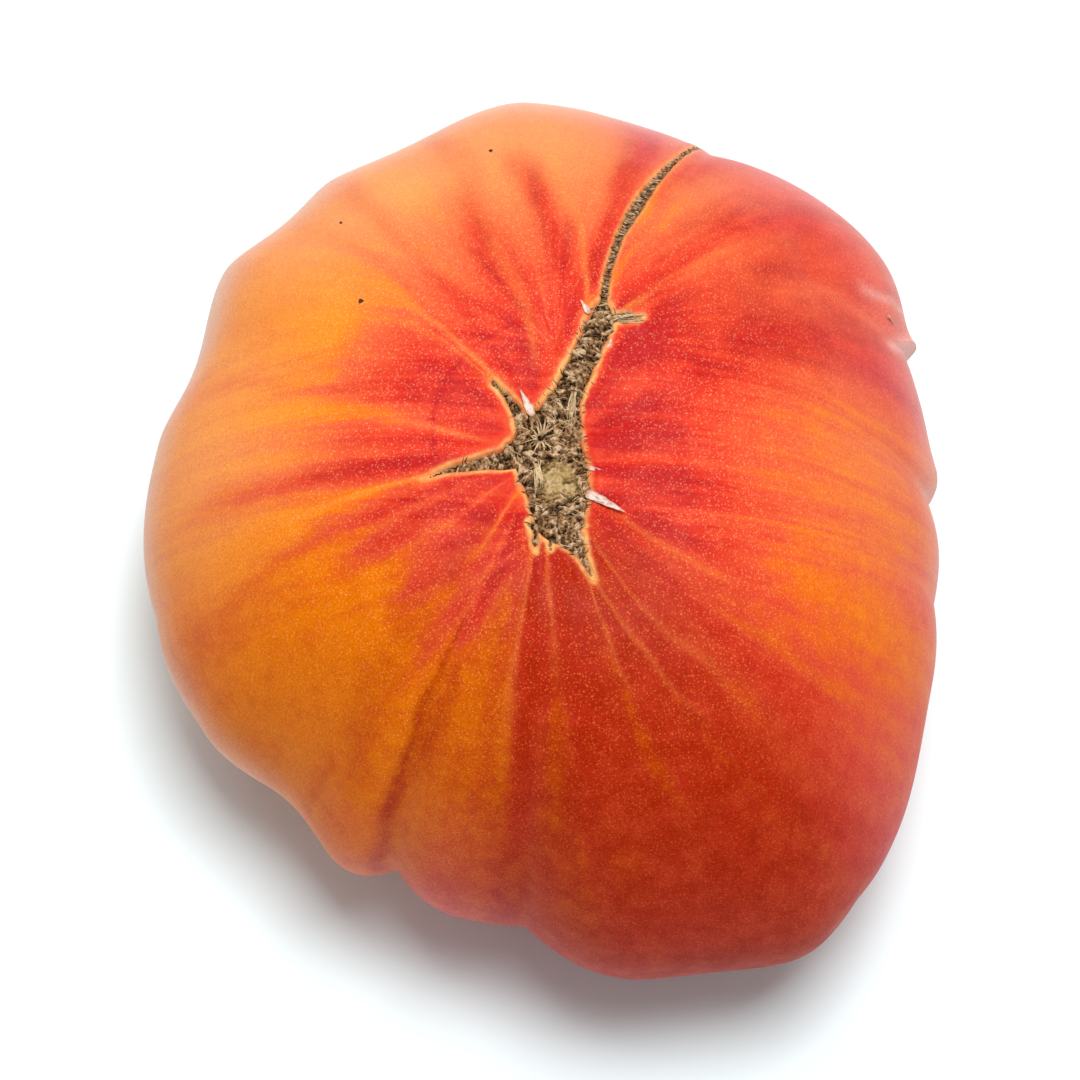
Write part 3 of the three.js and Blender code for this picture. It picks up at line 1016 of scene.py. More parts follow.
@dataclass(frozen=True)
class SkinColours:
    """Where the skin is crimson, gold, pale, russet or dotted, and where shade, light and sheen are painted
    on it, by azimuth and distance along it.

    The first six fields after the plan are rings of values, one every 30 degrees from +X. Spans are
    where something starts and where it is full: by distance from the scar in millimetres, or by place
    along the section.
    """

    plan: ScarPlan
    near_ripeness: tuple[float, ...] = (0.78, 0.78, 0.8, 0.66, 0.72, 0.74, 0.74, 0.76, 0.7, 0.85, 0.82, 0.8)
    far_ripeness: tuple[float, ...] = (0.46, 0.68, 0.64, 0.5, 0.42, 0.25, 0.30, 0.05, 0.08, 0.36, 0.6, 0.42)
    # partly the skin's own pale peach, partly painted light that brightens the back and the left side
    peach_and_painted_light: tuple[float, ...] = (0.3, 0.15, 0.35, 0.8, 0.95, 0.7, 0.75, 0.0, 0.0, 0.0, 0.0, 0.0)
    # partly the skin's own russet, partly painted shade that darkens the front slopes, which face away from
    # the lamps
    russet_and_painted_shade: tuple[float, ...] = (0.0, 0.0, 0.0, 0.0, 0.0, 0.0, 0.0, 0.32, 0.4, 0.9, 0.95, 0.15)
    # painted sheen: a pink reflection of the surround laid at the rims, one value every 30 degrees
    painted_rim_sheen: tuple[float, ...] = (0.35, 0.4, 0.6, 0.3, 0.15, 0.2, 0.05, 0.05, 0.15, 0.3, 0.0, 0.3)
    # painted reflection of the white surround on the rims, strongest at the back and on the left, one value
    # every 30 degrees
    pearl: tuple[float, ...] = (0.45, 0.3, 0.3, 0.6, 0.7, 0.8, 0.7, 0.55, 0.15, 0.0, 0.0, 0.05)
    streaks: tuple[Streak, ...] = STREAKS
    wobble: float = 2.0
    wobble_stretch: Span = (0.4, 0.25)
    wobble_length: float = 4.0
    near_to_far: Span = (12.0, 40.0)
    ripened: float = 0.55
    gilding: float = 0.6
    far_limit: float = 0.22
    glow: float = 0.25
    glow_width: float = 1.3
    lip_width: float = 0.3
    zipper_lip: float = 0.1
    scar_reach: float = 75.0
    rim: float = 0.49
    rim_swing: float = 0.05
    rim_width: float = 0.12
    painted_rim_sheen_width: float = 1.4
    painted_sheen_width: float = 0.25
    below_rim: Span = (0.02, 0.11)
    out_of_sight: Span = (0.02, 0.3)
    peach_and_painted_light_hidden: float = 0.5
    painted_rim_sheen_hidden: float = 0.7
    peach_and_painted_light_start: Span = (18.0, 50.0)
    russet_and_painted_shade_start: Span = (2.0, 20.0)
    gold_ends: Span = (46.0, 60.0)
    gold_clears: float = 0.7
    red_clears: float = 0.85
    red_strength: float = 1.6
    pale_lost: float = 0.5
    dots_start: Span = (5.0, 11.0)
    dots_thin_out: Span = (22.0, 60.0)
    dots_lost: float = 0.55
    dots_end: Span = (0.5, 0.68)
    ray_head: Span = (1.2, 14.1)
    ray_foot: Span = (-0.2, -11.1)
    ray_root: float = 12.0
    ray_growth: float = 20.0
    uneven: Unevenness = Unevenness(29)

    def dress(self, skin: Piece, degrees: Array, arc: Array, x: Array, y: Array, along: Array) -> None:
        """Gives the skin's points the numbers that its finish reads.

        Args:
            skin: the skin piece.
            degrees: each point's azimuth.
            arc: each point's distance along the skin from the scar's middle, in millimetres.
            x: each point's place along X on the plan.
            y: each point's place along Y on the plan.
            along: each point's place along the section.
        """
        out = ease(arc, *self.near_to_far)
        across, down = self.wobble_stretch
        wobble = self.wobble * self.uneven.rough(degrees * across, arc * down, self.wobble_length)
        totals = {tint: np.zeros(degrees.shape) for tint in Tint}
        for streak in self.streaks:
            totals[streak.tint] += streak.share(degrees + wobble, arc)
        rings = (self.near_ripeness, self.far_ripeness, self.peach_and_painted_light, self.russet_and_painted_shade, self.painted_rim_sheen, self.pearl)
        near_ripe, far_ripe, peach_and_painted_light, russet_and_painted_shade, painted_rim_sheen, pearl = (
            spline(np.array(ring), degrees / 360.0, closed=True) for ring in rings
        )
        rim = self.rim - self.rim_swing * np.sin(np.radians(degrees))
        below = ease(along, rim + self.below_rim[0], rim + self.below_rim[1])
        hidden = ease(along, rim + self.out_of_sight[0], rim + self.out_of_sight[1])
        cork, zipper = self.plan.cork_distance(x, y), self.plan.zipper_distance(x, y)
        edge = np.maximum(np.minimum(cork, zipper + self.zipper_lip), 0.0)
        near = np.where(arc < self.scar_reach, 1.0, 0.0)
        glow = near * np.exp(-((edge / self.glow_width) ** 2))
        ripe = near_ripe * (1.0 - out) + far_ripe * out
        ripe = ripe + self.ripened * totals[Tint.RED] - self.gilding * totals[Tint.GOLD] - self.glow * glow
        gilded = np.clip(totals[Tint.GOLD], 0.0, 1.0) * (1.0 - ease(arc, *self.gold_ends))
        reddened = np.clip(self.red_strength * totals[Tint.RED], 0.0, 1.0)
        clear = (1.0 - self.gold_clears * gilded) * (1.0 - self.red_clears * reddened)
        # painted sheen at the rims, from the ring and from the sheen streaks, laid just inside the rim seen
        # from the camera
        painted_rim_sheen = painted_rim_sheen * ease(along, rim - self.painted_rim_sheen_width * self.rim_width, rim)
        painted_rim_sheen = painted_rim_sheen + totals[Tint.PAINTED_SHEEN] * ease(along, rim - self.painted_sheen_width, rim)
        # painted reflection, laid just inside the rim seen from the camera and not below it
        pearl = pearl * ease(along, rim - self.rim_width, rim) * (1.0 - below)
        dots = ease(arc, *self.dots_start) * (1.0 - self.dots_lost * ease(arc, *self.dots_thin_out))
        shares = {
            # the peach wash is partly the skin's own colour, partly painted light on the back and the left
            # side
            "peach_and_painted_light": peach_and_painted_light * ease(arc, *self.peach_and_painted_light_start) * clear * (1.0 - self.peach_and_painted_light_hidden * hidden),
            # the russet wash is partly the skin's own colour, partly painted shade on the front slopes and in
            # the front valleys
            "russet_and_painted_shade": russet_and_painted_shade * ease(arc, *self.russet_and_painted_shade_start) + totals[Tint.DARK_AND_PAINTED_SHADE],
            # painted rim sheen, weaker on the side that the camera does not see
            "painted_rim_sheen": painted_rim_sheen * (1.0 - self.painted_rim_sheen_hidden * hidden),
            "pearl": pearl + totals[Tint.PAINTED_PALE_LIGHT],
            "pale": totals[Tint.PALE] * (1.0 - self.pale_lost * out),
            "lip": near * np.exp(-((edge / self.lip_width) ** 2)),
            "dots": dots * (1.0 - ease(along, *self.dots_end)),
        }
        add_values(skin, "ripeness", np.clip(ripe, 0.0, 1.0 - self.far_limit * out))
        add_values(skin, "rays", self.rays(degrees, arc))
        for name, share in shares.items():
            add_values(skin, name, np.clip(share, 0.0, 1.0))

    def rays(self, degrees: Array, arc: Array) -> Array:
        """Finds the root of the ray that each point lies on, for streaks that run out from the long scar.

        Args:
            degrees: each point's azimuth.
            arc: each point's distance along the skin from the scar's middle.

        Returns:
            Rows of the root's place, and a third number that grows slowly along the ray.
        """
        spot = np.stack([arc * np.cos(np.radians(degrees)), arc * np.sin(np.radians(degrees))], axis=1)
        foot, spine = np.array(self.ray_foot), np.array(self.ray_head) - np.array(self.ray_foot)
        share = np.clip((spot - foot) @ spine / (spine @ spine), 0.0, 1.0)
        nearest = foot + np.outer(share, spine)
        away = spot - nearest
        distance = np.maximum(np.linalg.norm(away, axis=1, keepdims=True), 1e-3)
        root = nearest + self.ray_root * away / distance
        return np.hstack([root / self.ray_root, distance / (self.ray_growth * self.ray_root)])


@dataclass(frozen=True)
class SkinFinish:
    """The waxy satin skin. Its base colour carries painted rim reflection and sheen, painted light on the
    back and left side, and painted shade on the front slopes.
    """

    gold: Colour = (0.93, 0.24, 0.000)
    orange: Colour = (0.83, 0.155, 0.006)
    coral: Colour = (0.77, 0.085, 0.030)
    scarlet: Colour = (0.68, 0.036, 0.017)
    crimson: Colour = (0.50, 0.012, 0.013)
    # partly the skin's own pale peach, partly painted light
    peach_and_painted_light: Colour = (1.00, 0.42, 0.13)
    # partly the skin's own russet, partly painted shade
    russet_and_painted_shade: Colour = (0.38, 0.017, 0.000)
    # painted sheen: the pink laid at the rims
    painted_rim_sheen: Colour = (0.80, 0.14, 0.19)
    # painted reflection: the pale colour laid on the rims and on the fold's wall
    pearl: Colour = (1.00, 0.76, 0.66)
    seam: Colour = (0.86, 0.26, 0.05)
    lip: Colour = (0.97, 0.58, 0.20)
    glint: Colour = (0.15, 0.16, 0.08)
    gold_glint: Colour = (0.27, 0.11, 0.02)
    shade: Colour = (0.66, 0.5, 0.42)
    ripeness_stops: tuple[float, ...] = (0.0, 0.28, 0.52, 0.78, 1.0)
    streak_scale: float = 5.0
    streak_swing: float = 0.12
    thread_scale: float = 20.0
    thread_swing: float = 0.06
    mottle_scale: float = 330.0
    mottle_swing: float = 0.1
    grain_scale: float = 3600.0
    ragged_scale: float = 2600.0
    ragged_shift: float = 0.00025
    dot_scale: float = 1500.0
    fine_dot_scale: float = 3100.0
    peach_and_painted_light_share: float = 0.75
    painted_rim_sheen_share: float = 0.7
    pale_share: float = 0.8
    roughness: Span = (0.42, 0.52)
    sheen: float = 0.06
    depth_share: float = 0.12
    depth_colour: Triple = (1.0, 0.35, 0.12)
    depth: float = 0.0015
    relief_strength: float = 0.2
    relief_height: float = 0.0001

    def ripe_colour(self, bench: NodeBench, mottle: Socket) -> Socket:
        """Returns the ground colour, from gold to crimson by ripeness, with streaks, threads and mottle.

        Args:
            bench: the material's nodes.
            mottle: the socket of the skin's mottle.

        Returns:
            The socket of the colour.
        """
        rays = bench.attribute("rays", "Vector")
        streaks = bench.noise(rays, self.streak_scale, 2.0, 0.5)
        threads = bench.noise(rays, self.thread_scale, 2.0, 0.5)
        ripe = bench.attribute("ripeness")
        ripe = bench.plus(ripe, bench.band(streaks, 0.3, 0.7, -self.streak_swing, self.streak_swing))
        ripe = bench.plus(ripe, bench.band(threads, 0.25, 0.75, -self.thread_swing, self.thread_swing))
        ripe = bench.plus(ripe, bench.band(mottle, 0.2, 0.8, -self.mottle_swing, self.mottle_swing))
        colours = (self.gold, self.orange, self.coral, self.scarlet, self.crimson)
        return bench.ramp(ripe, tuple(zip(self.ripeness_stops, colours)))

    def dots(self, bench: NodeBench, place: Socket) -> Socket:
        """Returns the share of each point that a large or a small pale dot covers.

        Args:
            bench: the material's nodes.
            place: the socket of the place on the object.

        Returns:
            The socket of the share.
        """
        ragged = bench.scatter(place, self.ragged_scale, self.ragged_shift)
        far, tone = bench.cells(ragged, self.dot_scale)
        fine_far, fine_tone = bench.cells(ragged, self.fine_dot_scale)
        big = bench.times(bench.band(far, 0.06, 0.27, 1.0, 0.0), bench.band(tone, 0.05, 0.7, 0.1, 1.0))
        small = bench.band(fine_far, 0.12, 0.45, 1.0, 0.0)
        small = bench.times(small, bench.band(fine_tone, 0.15, 0.6, 0.0, 0.9))
        return bench.times(bench.math(Sum.LARGER, big, small), bench.attribute("dots"))

    def make(self) -> Material:
        """Builds the skin's material.

        Returns:
            The material, which reads the values that SkinColours gives the mesh.
        """
        bench = NodeBench("tomato skin")
        place = bench.place()
        mottle = bench.noise(place, self.mottle_scale, 5.0, 0.65)
        grain = bench.noise(place, self.grain_scale, 2.0, 0.7)
        russet_and_painted_shade = bench.attribute("russet_and_painted_shade")
        washes = (
            # peach: partly real colour, partly painted light
            (bench.times(bench.attribute("peach_and_painted_light"), self.peach_and_painted_light_share), self.peach_and_painted_light),
            # russet: partly real colour, partly painted shade on the front
            (bench.times(russet_and_painted_shade, bench.band(mottle, 0.25, 0.75, 0.7, 1.0)), self.russet_and_painted_shade),
            # painted sheen at the rims
            (bench.times(bench.attribute("painted_rim_sheen"), self.painted_rim_sheen_share), self.painted_rim_sheen),
            # painted light: the rims' pale reflection and the fold wall's light
            (bench.attribute("pearl"), self.pearl),
            (bench.times(bench.attribute("pale"), self.pale_share), self.seam),
        )
        colour = self.ripe_colour(bench, mottle)
        for share, wash in washes:
            colour = bench.mix(share, colour, wash)
        dots = self.dots(bench, place)
        colour = bench.mix(dots, colour, bench.mix(russet_and_painted_shade, self.glint, self.gold_glint), Blend.ADD)
        darker = bench.mix(1.0, colour, self.shade, Blend.MULTIPLY)
        most = bench.band(russet_and_painted_shade, 0.0, 1.0, 0.4, 0.7)
        colour = bench.mix(bench.band(grain, 0.42, 0.66, 0.0, most), colour, darker)
        lip = bench.times(bench.attribute("lip"), bench.band(mottle, 0.3, 0.7, 0.2, 0.8))
        colour = bench.mix(lip, colour, self.lip)
        bench.set(Base_Color=colour, Roughness=bench.band(mottle, 0.2, 0.8, *self.roughness))
        bench.set(Specular_IOR_Level=self.sheen, Subsurface_Weight=self.depth_share)
        bench.set(Subsurface_Radius=self.depth_colour, Subsurface_Scale=self.depth)
        relief = bench.plus(bench.times(grain, 0.6), bench.times(dots, 0.4))
        bench.bump(relief, self.relief_strength, self.relief_height)
        return bench.material


@dataclass(frozen=True)
class CorkFinish:
    """The rough brown-grey cork of a scar."""

    name: str = "scar cork"
    # the darkest tone, in the cracks and along the edges: partly the cork's own colour, partly painted shade
    crevice: Colour = (0.016, 0.008, 0.003)
    bark: Colour = (0.18, 0.086, 0.032)
    tan: Colour = (0.34, 0.195, 0.095)
    straw: Colour = (0.60, 0.44, 0.27)
    moss: Colour = (0.42, 0.30, 0.10)
    fibre_scale: float = 2600.0
    fibre_swing: float = 0.26
    patch_scale: float = 700.0
    patch_swing: float = 0.08

    def make(self) -> Material:
        """Builds the cork's material, which reads the mesh's tone and moss values.

        Returns:
            The material.
        """
        bench = NodeBench(self.name)
        place = bench.place()
        fibres = bench.noise(place, self.fibre_scale, 4.0, 0.65)
        patches = bench.noise(place, self.patch_scale, 2.0, 0.5)
        tone = bench.attribute("tone")
        tone = bench.plus(tone, bench.band(fibres, 0.25, 0.75, -self.fibre_swing, self.fibre_swing))
        tone = bench.plus(tone, bench.band(patches, 0.3, 0.7, -self.patch_swing, self.patch_swing))
        stops = ((0.08, self.crevice), (0.34, self.bark), (0.62, self.tan), (0.92, self.straw))
        colour = bench.ramp(tone, stops)
        green = bench.times(bench.attribute("moss"), bench.band(patches, 0.3, 0.7, 0.1, 0.7))
        colour = bench.mix(green, colour, self.moss)
        bench.set(Base_Color=colour, Roughness=0.85, Specular_IOR_Level=0.1)
        bench.bump(fibres, 0.6, 0.0002)
        return bench.material


@dataclass(frozen=True)
class StrawFinish:
    """Dry fibres, from dark bark to pale straw."""

    name: str
    dark: Colour = (0.025, 0.014, 0.007)
    brown: Colour = (0.24, 0.125, 0.052)
    straw: Colour = (0.68, 0.50, 0.28)

    def make(self) -> Material:
        """Builds the fibres' material, which reads the mesh's tone values.

        Returns:
            The material.
        """
        bench = NodeBench(self.name)
        streaks = bench.noise(bench.place(), 2200.0, 3.0, 0.6)
        tone = bench.plus(bench.attribute("tone"), bench.band(streaks, 0.3, 0.7, -0.12, 0.12))
        colour = bench.ramp(tone, ((0.05, self.dark), (0.45, self.brown), (0.95, self.straw)))
        bench.set(Base_Color=colour, Roughness=0.75)
        bench.bump(streaks, 0.3, 0.0001)
        return bench.material


@dataclass(frozen=True)
class PaperFinish:
    """Papery white slivers of dead skin, browner at the root."""

    root: Colour = (0.42, 0.22, 0.11)
    paper: Colour = (0.74, 0.58, 0.50)
    vein: Colour = (0.50, 0.26, 0.18)

    def make(self) -> Material:
        """Builds the slivers' material, which reads the mesh's tone values.

        Returns:
            The material.
        """
        bench = NodeBench("dry flakes")
        streaks = bench.noise(bench.place(), 1500.0, 3.0, 0.6)
        paper = bench.mix(bench.band(streaks, 0.45, 0.7), self.paper, self.vein)
        colour = bench.mix(bench.band(bench.attribute("tone"), 0.4, 0.9), self.root, paper)
        bench.set(Base_Color=colour, Roughness=0.6)
        bench.bump(streaks, 0.3, 0.0001)
        return bench.material


@dataclass(frozen=True)
class FloorFinish:
    """The plain white surface that the fruit rests on."""

    white: Colour = (0.84, 0.95, 0.97)
    worn: Colour = (0.82, 0.91, 0.93)

    def make(self) -> Material:
        """Builds a matt white material.

        Returns:
            The material.
        """
        bench = NodeBench("white floor")
        tone = bench.band(bench.noise(bench.place(), 3.0, 1.0), 0.3, 0.7, 0.0, 0.02)
        bench.set(Base_Color=bench.mix(tone, self.white, self.worn), Roughness=0.9, Specular_IOR_Level=0.06)
        return bench.material


@dataclass
class Skin:
    """The fruit's whole outside, from the blossom scar to the stalk's scar."""

    form: FruitForm
    relief: Relief
    colours: SkinColours
    column_step: float = 0.8
    zipper_band: Triple = (63.0, 78.0, 0.3)
    fold_band: Triple = (27.5, 31.5, 0.2)
    rows: tuple[tuple[float, int], ...] = ((0.175, 75), (0.5, 70), (1.0, 52))
    band_gap: float = 0.1
    relief_fade: Span = (0.36, 0.46)
    stalk_radius: float = 6.5
    stalk_from: float = 0.8
    stalk_rim: float = 0.8
    stalk_rim_gap: float = 1.0
    stalk_rim_width: float = 1.2
    stalk_bed: float = 1.9
    stalk_slope: float = 1.5
    inset: float = 0.05
    rest_height: float = 0.0

    def columns(self) -> Array:
        """Returns the columns' azimuths, finer at the zipper and the folded seam.

        Returns:
            The azimuths in degrees.
        """
        bands = [np.arange(*band) for band in (self.zipper_band, self.fold_band)]
        even = np.arange(0.0, 360.0, self.column_step)
        for low, high, _ in (self.zipper_band, self.fold_band):
            even = even[(even < low - self.band_gap) | (even > high + self.band_gap)]
        return np.sort(np.concatenate([even, *bands]))

    def places(self) -> Array:
        """Returns the rows' places along the section, with both ends.

        Returns:
            The places, from 0 to 1.
        """
        parts, start = [np.zeros(1)], 0.0
        for end, count in self.rows:
            parts.append(np.linspace(start, end, count + 1)[1:])
            start = end
        return np.concatenate(parts)

    def build(self) -> Piece:
        """Builds and dresses the skin.

        Returns:
            The skin piece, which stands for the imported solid.
        """
        columns, rows = self.columns(), self.places()
        degrees, along = np.meshgrid(columns, rows)
        points, outward = self.form.surface(degrees, along)
        x, y = points[..., 0], points[..., 1]
        lift = self.relief.lift(x, y) * (1.0 - ease(along, *self.relief_fade))
        distance = np.hypot(x, y)
        beside = distance - self.stalk_radius - self.stalk_rim_gap
        rim = np.exp(-((beside / self.stalk_rim_width) ** 2))
        bed = 1.0 - ease(distance, self.stalk_radius - self.stalk_slope, self.stalk_radius)
        stalk = self.stalk_rim * rim - self.stalk_bed * bed
        lift = lift + np.where(along > self.stalk_from, stalk, 0.0) - self.inset
        placed = points + lift[..., None] * outward
        placed[..., 2] = np.maximum(placed[..., 2], self.rest_height)
        steps = np.linalg.norm(np.diff(points, axis=0), axis=2)
        arc = np.vstack([np.zeros((1, len(columns))), np.cumsum(steps, axis=0)])
        count = len(columns)
        vertices = np.vstack([placed[0, :1], placed[1:-1].reshape(-1, 3), placed[-1, :1]])
        last = len(vertices) - 1
        index = 1 + np.arange((len(rows) - 2) * count).reshape(-1, count)
        upper, lower = index[:-1], index[1:]
        quads = np.stack([upper, lower, np.roll(lower, -1, axis=1), np.roll(upper, -1, axis=1)], axis=-1)
        faces = quads.reshape(-1, 4).tolist()
        first_ring, last_ring = index[0].tolist(), index[-1].tolist()
        for k in range(count):
            after = (k + 1) % count
            faces.append((0, first_ring[k], first_ring[after]))
            faces.append((last, last_ring[after], last_ring[k]))
        skin = build_mesh("tomato_skin", vertices, faces, SkinFinish().make())

        def flat(values: Array) -> Array:
            """Lays out a value of the grid in the order of the mesh's points."""
            return np.concatenate([values[0, :1], values[1:-1].ravel(), values[-1, :1]])

        azimuth = np.degrees(np.arctan2(y, x)) % 360.0
        self.colours.dress(skin, flat(azimuth), flat(arc), flat(x), flat(y), flat(along))
        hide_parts("tomato")
        return skin


@dataclass(frozen=True)
class CorkTones:
    """How light the crust is, from 0 dark to 1 pale, and how much each form on it adds or takes."""

    # the cracks, the cup and the edges go darker, and the raised plates, wrinkle ridges and bumps paler:
    # partly the cork's own colours, partly painted shade in the hollows and painted highlight on the tops
    base: float = 0.43
    plate: float = 0.34
    crack: float = 0.36
    wrinkle: float = 0.22
    fine: float = 0.22
    patch: float = 0.26
    patch_swing: float = 0.7
    cup: float = 0.4
    edge: float = 0.35
    edge_width: float = 0.45
    zipper_base: float = 0.25
    zipper_rung: float = 0.36
    zipper_fine: float = 0.2
    zipper_edge: float = 0.25
    zipper_edge_width: float = 0.25


@dataclass
class Cork:
    """The cork of the blossom scar and of the zipper, a flaky closed crust in its bed."""

    plan: ScarPlan
    terrain: Terrain
    tones: CorkTones = CorkTones()
    cell: float = 0.11
    net_x: Span = (-16.0, 25.0)
    net_y: Span = (-18.4, 58.6)
    margin: float = 0.2
    sunk: float = 0.75
    crown: float = 0.75
    crown_width: float = 1.0
    wander: float = 0.5
    wander_length: float = 1.4
    plate_length: float = 0.5
    plate_width: float = 1.3
    plate_step: float = 0.16
    crack: float = 0.3
    crack_width: float = 0.16
    wrinkle: float = 0.2
    wrinkle_stretch: Span = (2.2, 0.7)
    wrinkle_length: float = 0.8
    fine: float = 0.1
    fine_length: float = 0.36
    edge_drop: float = 0.8
    bottom: float = -1.9
    zipper_bottom: float = -1.2
    least_thickness: float = 0.05
    zipper_blend: Span = (-0.4, 0.3)
    zipper_inset: float = 0.12
    zipper_sunk: float = 0.55
    zipper_crown: float = 0.38
    zipper_crown_width: float = 0.4
    zipper_roughness: float = 0.3
    rung_spacing: float = 1.5
    rung_height: float = 0.3
    rung_level: float = 0.4
    rung_wobble: float = 0.22
    cup_depth: float = 0.5
    patch_rise: float = 0.4
    patch_calm: float = 0.35
    patch_wobble: float = 0.35
    lumps: Unevenness = Unevenness(5)
    scales: Unevenness = Unevenness(8)

    def shape(self, x: Array, y: Array) -> tuple[Array, Array, Array, Array]:
        """Forms the crust.

        Args:
            x: places along X.
            y: places along Y.

        Returns:
            The lift off the bare form, the share of it that is zipper, the tone from 0 dark to 1 pale, and
            how green it is.
        """
        tones = self.tones
        cork, zipper = self.plan.cork_distance(x, y), self.plan.zipper_distance(x, y)
        zip_share = ease(cork, *self.zipper_blend)
        inward = np.maximum(-np.minimum(cork, zipper + self.zipper_inset), 0.0)
        patch, cup, rung = self.patch_share(x, y), self.cup_share(x, y), self.rungs(x, y)
        calm = 1.0 - self.patch_calm * patch
        along, across = self.plan.flow(x, y)
        along = along + self.wander * self.lumps.at(x, y, self.wander_length)
        gap, tone = self.scales.plates(along / self.plate_length, across / self.plate_width)
        plate, crack = tone * calm, (1.0 - ease(gap, 0.0, self.crack_width)) * calm
        stretched = along * self.wrinkle_stretch[0], across * self.wrinkle_stretch[1]
        wrinkle = 1.0 - 2.0 * np.abs(self.lumps.rough(*stretched, self.wrinkle_length))
        fine = self.scales.rough(x * 1.3, y, self.fine_length, 2)
        rough = self.plate_step * plate - self.crack * crack
        rough += self.wrinkle * wrinkle * calm + self.fine * fine
        lift = self.crown * ease(inward, 0.0, self.crown_width) - self.sunk + rough
        lift += self.patch_rise * patch - self.cup_depth * cup
        zip_lift = self.zipper_crown * ease(inward, 0.0, self.zipper_crown_width) - self.zipper_sunk
        zip_lift += self.rung_height * (rung - self.rung_level) + self.zipper_roughness * rough
        # the tone follows the relief: partly the cork's own colours, partly painted shade in cracks, cup and
        # edge and painted highlight on raised plates, ridges and bumps
        level = tones.base + tones.plate * plate - tones.crack * crack + tones.wrinkle * wrinkle
        level += tones.fine * fine - tones.cup * cup
        level += tones.patch * patch * (1.0 + tones.patch_swing * self.lumps.at(x, y, 1.1))
        level -= tones.edge * (1.0 - ease(inward, 0.0, tones.edge_width))
        # the zipper's edges go darker too: partly painted shade where it sinks into its bed
        zip_level = tones.zipper_base + (tones.zipper_rung + tones.wrinkle * wrinkle) * rung
        zip_level += tones.zipper_fine * fine
        zip_level -= tones.zipper_edge * (1.0 - ease(inward, 0.0, tones.zipper_edge_width))
        fall = self.edge_drop * ease(np.minimum(cork, zipper), -0.05, self.margin)
        lift = lift * (1.0 - zip_share) + zip_lift * zip_share - fall
        level = np.clip(level * (1.0 - zip_share) + zip_level * zip_share, 0.0, 1.0)
        return lift, zip_share, level, np.clip(1.1 * patch, 0.0, 1.0)

    def patch_share(self, x: Array, y: Array) -> Array:
        """Returns 1 on the smooth greenish patch below the style's cup, 0 away from it.

        Args:
            x: places along X.
            y: places along Y.

        Returns:
            The share.
        """
        wobble = self.patch_wobble * self.lumps.rough(x, y, 1.5)
        reach = np.hypot((x - self.plan.patch[0]) * 1.15, y - self.plan.patch[1]) + wobble
        return 1.0 - ease(reach, self.plan.patch_radius * 0.5, self.plan.patch_radius * 1.15)

    def cup_share(self, x: Array, y: Array) -> Array:
        """Returns 1 in the middle of the cup where the style stood, 0 at its rim."""
        reach = np.hypot(x - self.plan.star[0], y - self.plan.star[1])
        return 1.0 - ease(reach, 0.2, self.plan.star_radius * 0.75)

    def rungs(self, x: Array, y: Array) -> Array:
        """Returns the zipper's cross ridges, from 0 between them to 1 on top.

        Args:
            x: places along X.
            y: places along Y.

        Returns:
            The share.
        """
        phase, _ = self.plan.flow(x, y, zipper_only=True)
        wobble = self.rung_wobble * self.lumps.at(x + 9.0, y + 40.0, 1.3)
        return 0.5 + 0.5 * np.cos(2 * math.pi * (phase + wobble) / self.rung_spacing)

    def build(self) -> Piece:
        """Builds and dresses the crust.

        Returns:
            The cork piece.
        """
        x, y = np.meshgrid(np.arange(*self.net_x, self.cell), np.arange(*self.net_y, self.cell))
        distance = np.minimum(self.plan.cork_distance(x, y), self.plan.zipper_distance(x, y))
        inside = (distance < self.margin) & self.terrain.covers(x, y)
        low, high = slice(0, -1), slice(1, None)
        corners = ((low, low), (low, high), (high, high), (high, low))
        cells = np.all([inside[corner] for corner in corners], axis=0)
        used = np.zeros(inside.shape, bool)
        for corner in corners:
            used[corner] |= cells
        number = np.full(inside.shape, -1)
        number[used] = np.arange(used.sum())
        px, py = x[used], y[used]
        lift, zip_share, level, moss = self.shape(px, py)
        top = self.terrain.place(px, py, lift)
        floor = self.bottom * (1.0 - zip_share) + self.zipper_bottom * zip_share
        under = self.terrain.place(px, py, np.minimum(floor, lift - self.least_thickness))
        quads = np.stack([number[corner][cells] for corner in corners], axis=1)
        faces = quads.tolist() + (quads[:, ::-1] + len(top)).tolist() + self.walls(cells, number, len(top))
        cork = build_mesh("blossom_scar_cork", np.vstack([top, under]), faces, CorkFinish().make())
        add_values(cork, "tone", np.concatenate([level, level]))
        add_values(cork, "moss", np.concatenate([moss, moss]))
        return cork

    def walls(self, cells: Array, number: Array, total: int) -> Faces:
        """Closes the crust's sides.

        Args:
            cells: which cells of the net the crust has.
            number: each net point's number in the mesh.
            total: how far on the lower points are numbered.

        Returns:
            The side faces.
        """
        padded = np.pad(cells, 1)
        sides = []
        for row, col in np.argwhere(cells).tolist():
            around = (
                (padded[row, col + 1], (row, col), (row, col + 1)),
                (padded[row + 1, col + 2], (row, col + 1), (row + 1, col + 1)),
                (padded[row + 2, col + 1], (row + 1, col + 1), (row + 1, col)),
                (padded[row + 1, col], (row + 1, col), (row, col)),
            )
            for covered, start, end in around:
                if not covered:
                    a, b = int(number[start]), int(number[end])
                    sides.append((b, a, a + total, b + total))
        return sides


@dataclass(frozen=True)
class Fibre:
    """One kind of fibre, by the spans that its sizes are drawn from.

    The lifts are those of its root, middle and tip off the bare form. The tone goes from its darkest to
    its palest by a power, which says which of them is the commoner.
    """

    lifts: Triple
    radius: Span
    tone: Triple
    bend: Span


@dataclass(frozen=True)
class Tuft:
    """A bunch of like fibres: how many, where their roots and tips are drawn from, and their kind."""

    count: int
    root_x: Span
    root_y: Span
    tip_x: Span
    tip_y: Span
    tip_from_root: bool
    fibre: Fibre


